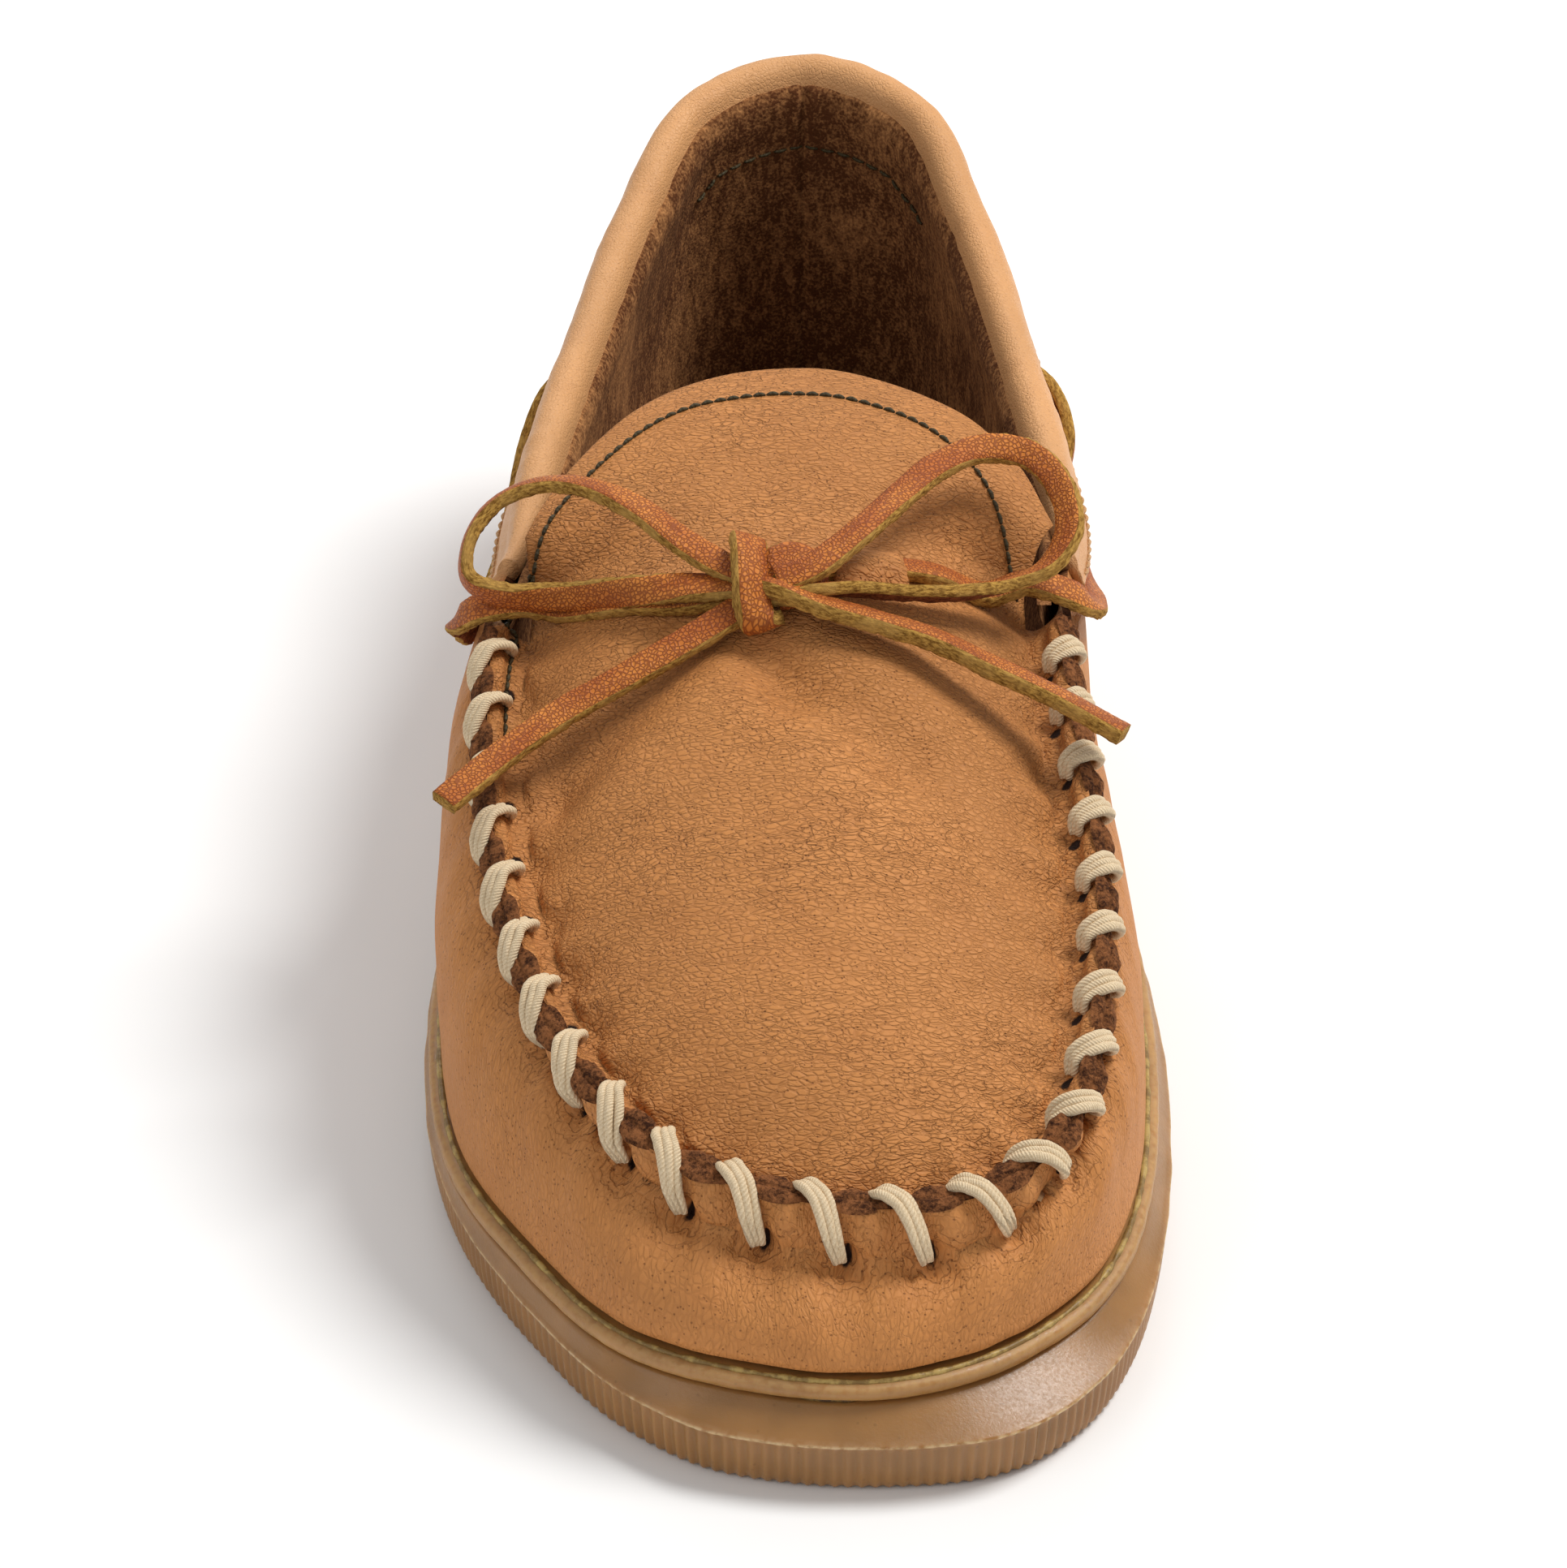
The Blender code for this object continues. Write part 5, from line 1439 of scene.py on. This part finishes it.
def lace_edge_look():
    """The thong's cut sides, paler, with fibres along it."""
    look = Look("lace_edge", 0.95, specular=0.12)
    fibre = look.noise(look.rest((0.55, 1.6, 1.6)), 0.6, 4, 0.7)
    patch = look.noise(look.rest(), 3.5, 2)
    colour = look.mixed(look.span(fibre, 0.34, 0.68), (0.16, 0.070, 0.012), (0.58, 0.33, 0.075))
    colour = look.mixed(look.span(patch, 0.4, 0.7, 0, 0.5), colour, (0.56, 0.33, 0.095))
    return look.done(colour, look.bump(fibre, 0.3, 1.0))


def thread_look(name, base, dark, twist):
    """Waxed thread with its plies twisted round it."""
    look = Look(name, 0.62, specular=0.35)
    fibre = look.noise(look.rest(), 0.22, 3, 0.6)
    turn = look.times(look.value("round"), 6.283 * PLIES)
    advance = look.times(look.value("along"), twist)
    turns = look.math("SINE", look.total(turn, advance))
    # the grooves between the plies are painted darker as painted shade; the fibres vary in tone at random
    share = look.total(look.span(fibre, 0.3, 0.7, 0, 0.55), look.span(turns, -1, -0.2, 0.35, 0))
    colour = look.mixed(share, base, dark)
    return look.done(colour, look.bump(look.total(look.times(turns, 0.35), fibre), 0.14, 0.8))


def rubber_look(name, base, light):
    """Cloudy crepe-like rubber with specks, paler where it is worn."""
    look = Look(name, 0.36, specular=0.5)
    look.set("Subsurface Weight", 0.35)
    look.set("Subsurface Radius", (1.0, 0.55, 0.2))
    look.set("Subsurface Scale", 0.004)
    place = look.rest()
    cloud = look.noise(place, 9, 3)
    speck = look.span(look.cells(place, 2.6), 0.12, 0.05)
    fine = look.noise(place, 0.5, 3, 0.65)
    wear = look.times(look.value("wear"), look.span(look.noise(place, 1.3, 3), 0.3, 0.6))
    colour = look.mixed(look.span(cloud, 0.3, 0.7), base, toned(base, 0.84))
    colour = look.mixed(look.times(speck, 0.35), colour, toned(base, 0.45))
    colour = look.mixed(wear, colour, light)
    look.set("Roughness", look.span(look.total(fine, wear), 0.3, 1.1, 0.3, 0.62))
    return look.done(colour, look.bump(fine, 0.08, 0.5))


def glue_look(name, dark, light):
    """Blotchy dried glue."""
    look = Look(name, 0.45, specular=0.4)
    mottle = look.noise(look.rest(), 3.2, 4, 0.7)
    colour = look.mixed(look.span(mottle, 0.42, 0.62), dark, light)
    return look.done(colour, look.bump(mottle, 0.4, 0.7))


def make_materials():
    """Every material by name."""
    tan, tan_shade = (0.56, 0.232, 0.068), (0.16, 0.049, 0.014)
    return {
        "vamp": leather_look("vamp_leather", tan, tan_shade, pores=0.7, pebble=0.5, creases=0.35,
                             roughness=0.6, flow="flow", stretch=(1, 0.4, 1), holes=True),
        "plug": leather_look("plug_leather", tan, tan_shade, pores=0.75, pebble=0.8, creases=1.0,
                             roughness=0.62, stretch=(0.45, 1, 1), holes=True),
        "collar": leather_look("collar_leather", (0.65, 0.335, 0.14), (0.42, 0.18, 0.07), pores=0.35,
                               pebble=0.3, creases=0.12, roughness=0.47),
        "suede": suede_look("suede", (0.10, 0.032, 0.010), (0.52, 0.24, 0.088)),
        # the sock liner's suede: a darker copy of the lining's, painted shade deep inside the shoe
        "shaded_suede_node": suede_look("shaded_suede_on_node", (0.075, 0.026, 0.010), (0.22, 0.095, 0.040), on_node=True),
        "cut_edge": cut_edge_look(),
        "flesh": fibre_look("leather_flesh", 0.9, (0.25, 0.12, 0.055), (0.50, 0.30, 0.15)),
        "lace_grain": lace_grain_look(),
        "lace_edge": lace_edge_look(),
        "lace_flesh": fibre_look("lace_flesh", 0.7, (0.10, 0.028, 0.012), (0.30, 0.105, 0.040),
                                 grit=0.7, low=0.34, strength=1.0),
        "thread": thread_look("stitch_thread", (0.84, 0.68, 0.46), (0.56, 0.39, 0.21), 24.0),
        "hem_thread": thread_look("hem_thread", (0.070, 0.052, 0.018), (0.03, 0.02, 0.008), 20.0),
        "tan_thread": thread_look("tan_thread", (0.60, 0.36, 0.17), (0.40, 0.20, 0.08), 20.0),
        "rubber": rubber_look("amber_rubber", (0.36, 0.175, 0.053), (0.66, 0.48, 0.28)),
        "rim": rubber_look("rim_rubber", (0.42, 0.21, 0.064), (0.56, 0.36, 0.15)),
        # dark glue, painted darker as the shade in the recess under the rim
        "gap": glue_look("dark_glue_and_shade", (0.06, 0.028, 0.010), (0.30, 0.19, 0.05)),
        "bead": glue_look("clear_glue", (0.22, 0.13, 0.035), (0.48, 0.33, 0.10)),
        "board": inner_look("board", (0.50, 0.42, 0.31), 1.2),
        "foam": inner_look("foam", (0.72, 0.66, 0.52), 0.7),
        "lace_node": inner_look("lace_node", (0.46, 0.15, 0.05), 1.0)}


# ---------------------------------------------------------------- studio

CAMERA_TARGET = np.array([-2, -27, 42.0])
CAMERA_DISTANCE = 900.0
CAMERA_ELEVATION, CAMERA_AZIMUTH = math.radians(33.6), math.radians(0.47)
CAMERA_LENS = 140.2
LIGHTS = [  # name, place, size, watts, colour
    ("key", (0.7, 0.25, 1.2), 0.6, 15.5, (1, 0.99, 0.97)),
    ("fill", (-0.9, -0.8, 0.8), 1.0, 2.5, (1, 1, 1)),
    ("back", (-0.2, 1.1, 0.9), 0.9, 4, (1, 1, 1))]
LIT_POINT = Vector((0, 0, 0.03))
WORLD_STRENGTH = 0.42
FLOOR_HALF, FLOOR_DROP = 3.0, 0.0002


def add_camera():
    """The camera in front of the toe, looking down at the shoe."""
    back = np.array([math.sin(CAMERA_AZIMUTH) * math.cos(CAMERA_ELEVATION),
                     -math.cos(CAMERA_AZIMUTH) * math.cos(CAMERA_ELEVATION), math.sin(CAMERA_ELEVATION)])
    camera = bpy.data.objects.new("camera", bpy.data.cameras.new("camera"))
    camera.location = (CAMERA_TARGET + back * CAMERA_DISTANCE) * MM
    camera.rotation_euler = Vector(-back).to_track_quat("-Z", "Y").to_euler()
    camera.data.lens = CAMERA_LENS
    camera.data.sensor_width = 36
    camera.data.clip_start = 0.01
    bpy.context.scene.collection.objects.link(camera)
    bpy.context.scene.camera = camera


def add_light(name, place, size, watts, colour):
    """A round soft light turned towards the shoe."""
    lamp = bpy.data.lights.new(name, "AREA")
    lamp.shape = "DISK"
    lamp.size = size
    lamp.energy = watts
    lamp.color = colour
    light = bpy.data.objects.new(name, lamp)
    light.location = place
    light.rotation_euler = (LIT_POINT - Vector(place)).to_track_quat("-Z", "Y").to_euler()
    bpy.context.scene.collection.objects.link(light)


def add_studio():
    """White surroundings, three soft lights and a near-white floor."""
    world = bpy.data.worlds.new("studio")
    world.use_nodes = True
    world.node_tree.nodes["Background"].inputs["Color"].default_value = (1, 1, 1, 1)
    world.node_tree.nodes["Background"].inputs["Strength"].default_value = WORLD_STRENGTH
    bpy.context.scene.world = world
    for light in LIGHTS:
        add_light(*light)
    bpy.context.scene.view_settings.view_transform = "Standard"
    mesh = bpy.data.meshes.new("floor")
    corners = [(x * FLOOR_HALF, y * FLOOR_HALF, 0) for x, y in ((-1, -1), (1, -1), (1, 1), (-1, 1))]
    mesh.from_pydata(corners, [], [(0, 1, 2, 3)])
    floor = bpy.data.objects.new("floor", mesh)
    floor.location = (0, 0, -FLOOR_DROP)
    paper = Look("floor", 0.9, specular=0.1, on_node=True)
    paper.done(paper.mixed(paper.noise(paper.rest(), 40, 3), (0.93, 0.93, 0.93), (0.97, 0.97, 0.97)))
    mesh.materials.append(paper.material)
    bpy.context.scene.collection.objects.link(floor)


# ---------------------------------------------------------------- whole shoe

def dress_nodes(frame, materials):
    """Materials for the layers inside the shoe, which stay as the part has them."""
    for node, key in (("insole_board", "board"), ("heel_counter", "board"), ("footbed_foam", "foam"),
                      ("sock_liner", "shaded_suede_node"), ("lace_heel_run", "lace_node")):
        thing = frame["nodes"][node]
        for place in thing.material_slots:
            place.material = materials[key]


def main():
    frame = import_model()
    add_camera()
    add_studio()
    materials = make_materials()
    dress_nodes(frame, materials)
    build_wall([materials["vamp"], materials["flesh"], materials["cut_edge"]])
    plug, grid = build_plug([materials["plug"], materials["flesh"], materials["cut_edge"]])
    build_tongue_lining(grid, materials["suede"])
    build_ridge_edge(materials["cut_edge"])
    build_ridge_thread(materials["thread"])
    tree = surface_of(plug)
    build_hem(tree, materials["hem_thread"])
    build_collar(materials["collar"], materials["tan_thread"])
    build_lining(materials["suede"], materials["hem_thread"])
    outline = smooth_curve([(x, y, 0) for x, y in SOLE_OUTLINE], True, 24)
    rim = FOOT[::4] * np.array([1, 1, 0])
    build_outsole(materials["rubber"], outline, rim)
    build_tread(materials["rubber"], outline)
    build_rim(materials["rim"], rim)
    build_glue(materials["gap"], materials["bead"], rim)
    build_lace(tree, [materials["lace_grain"], materials["lace_edge"], materials["lace_flesh"]])


main()
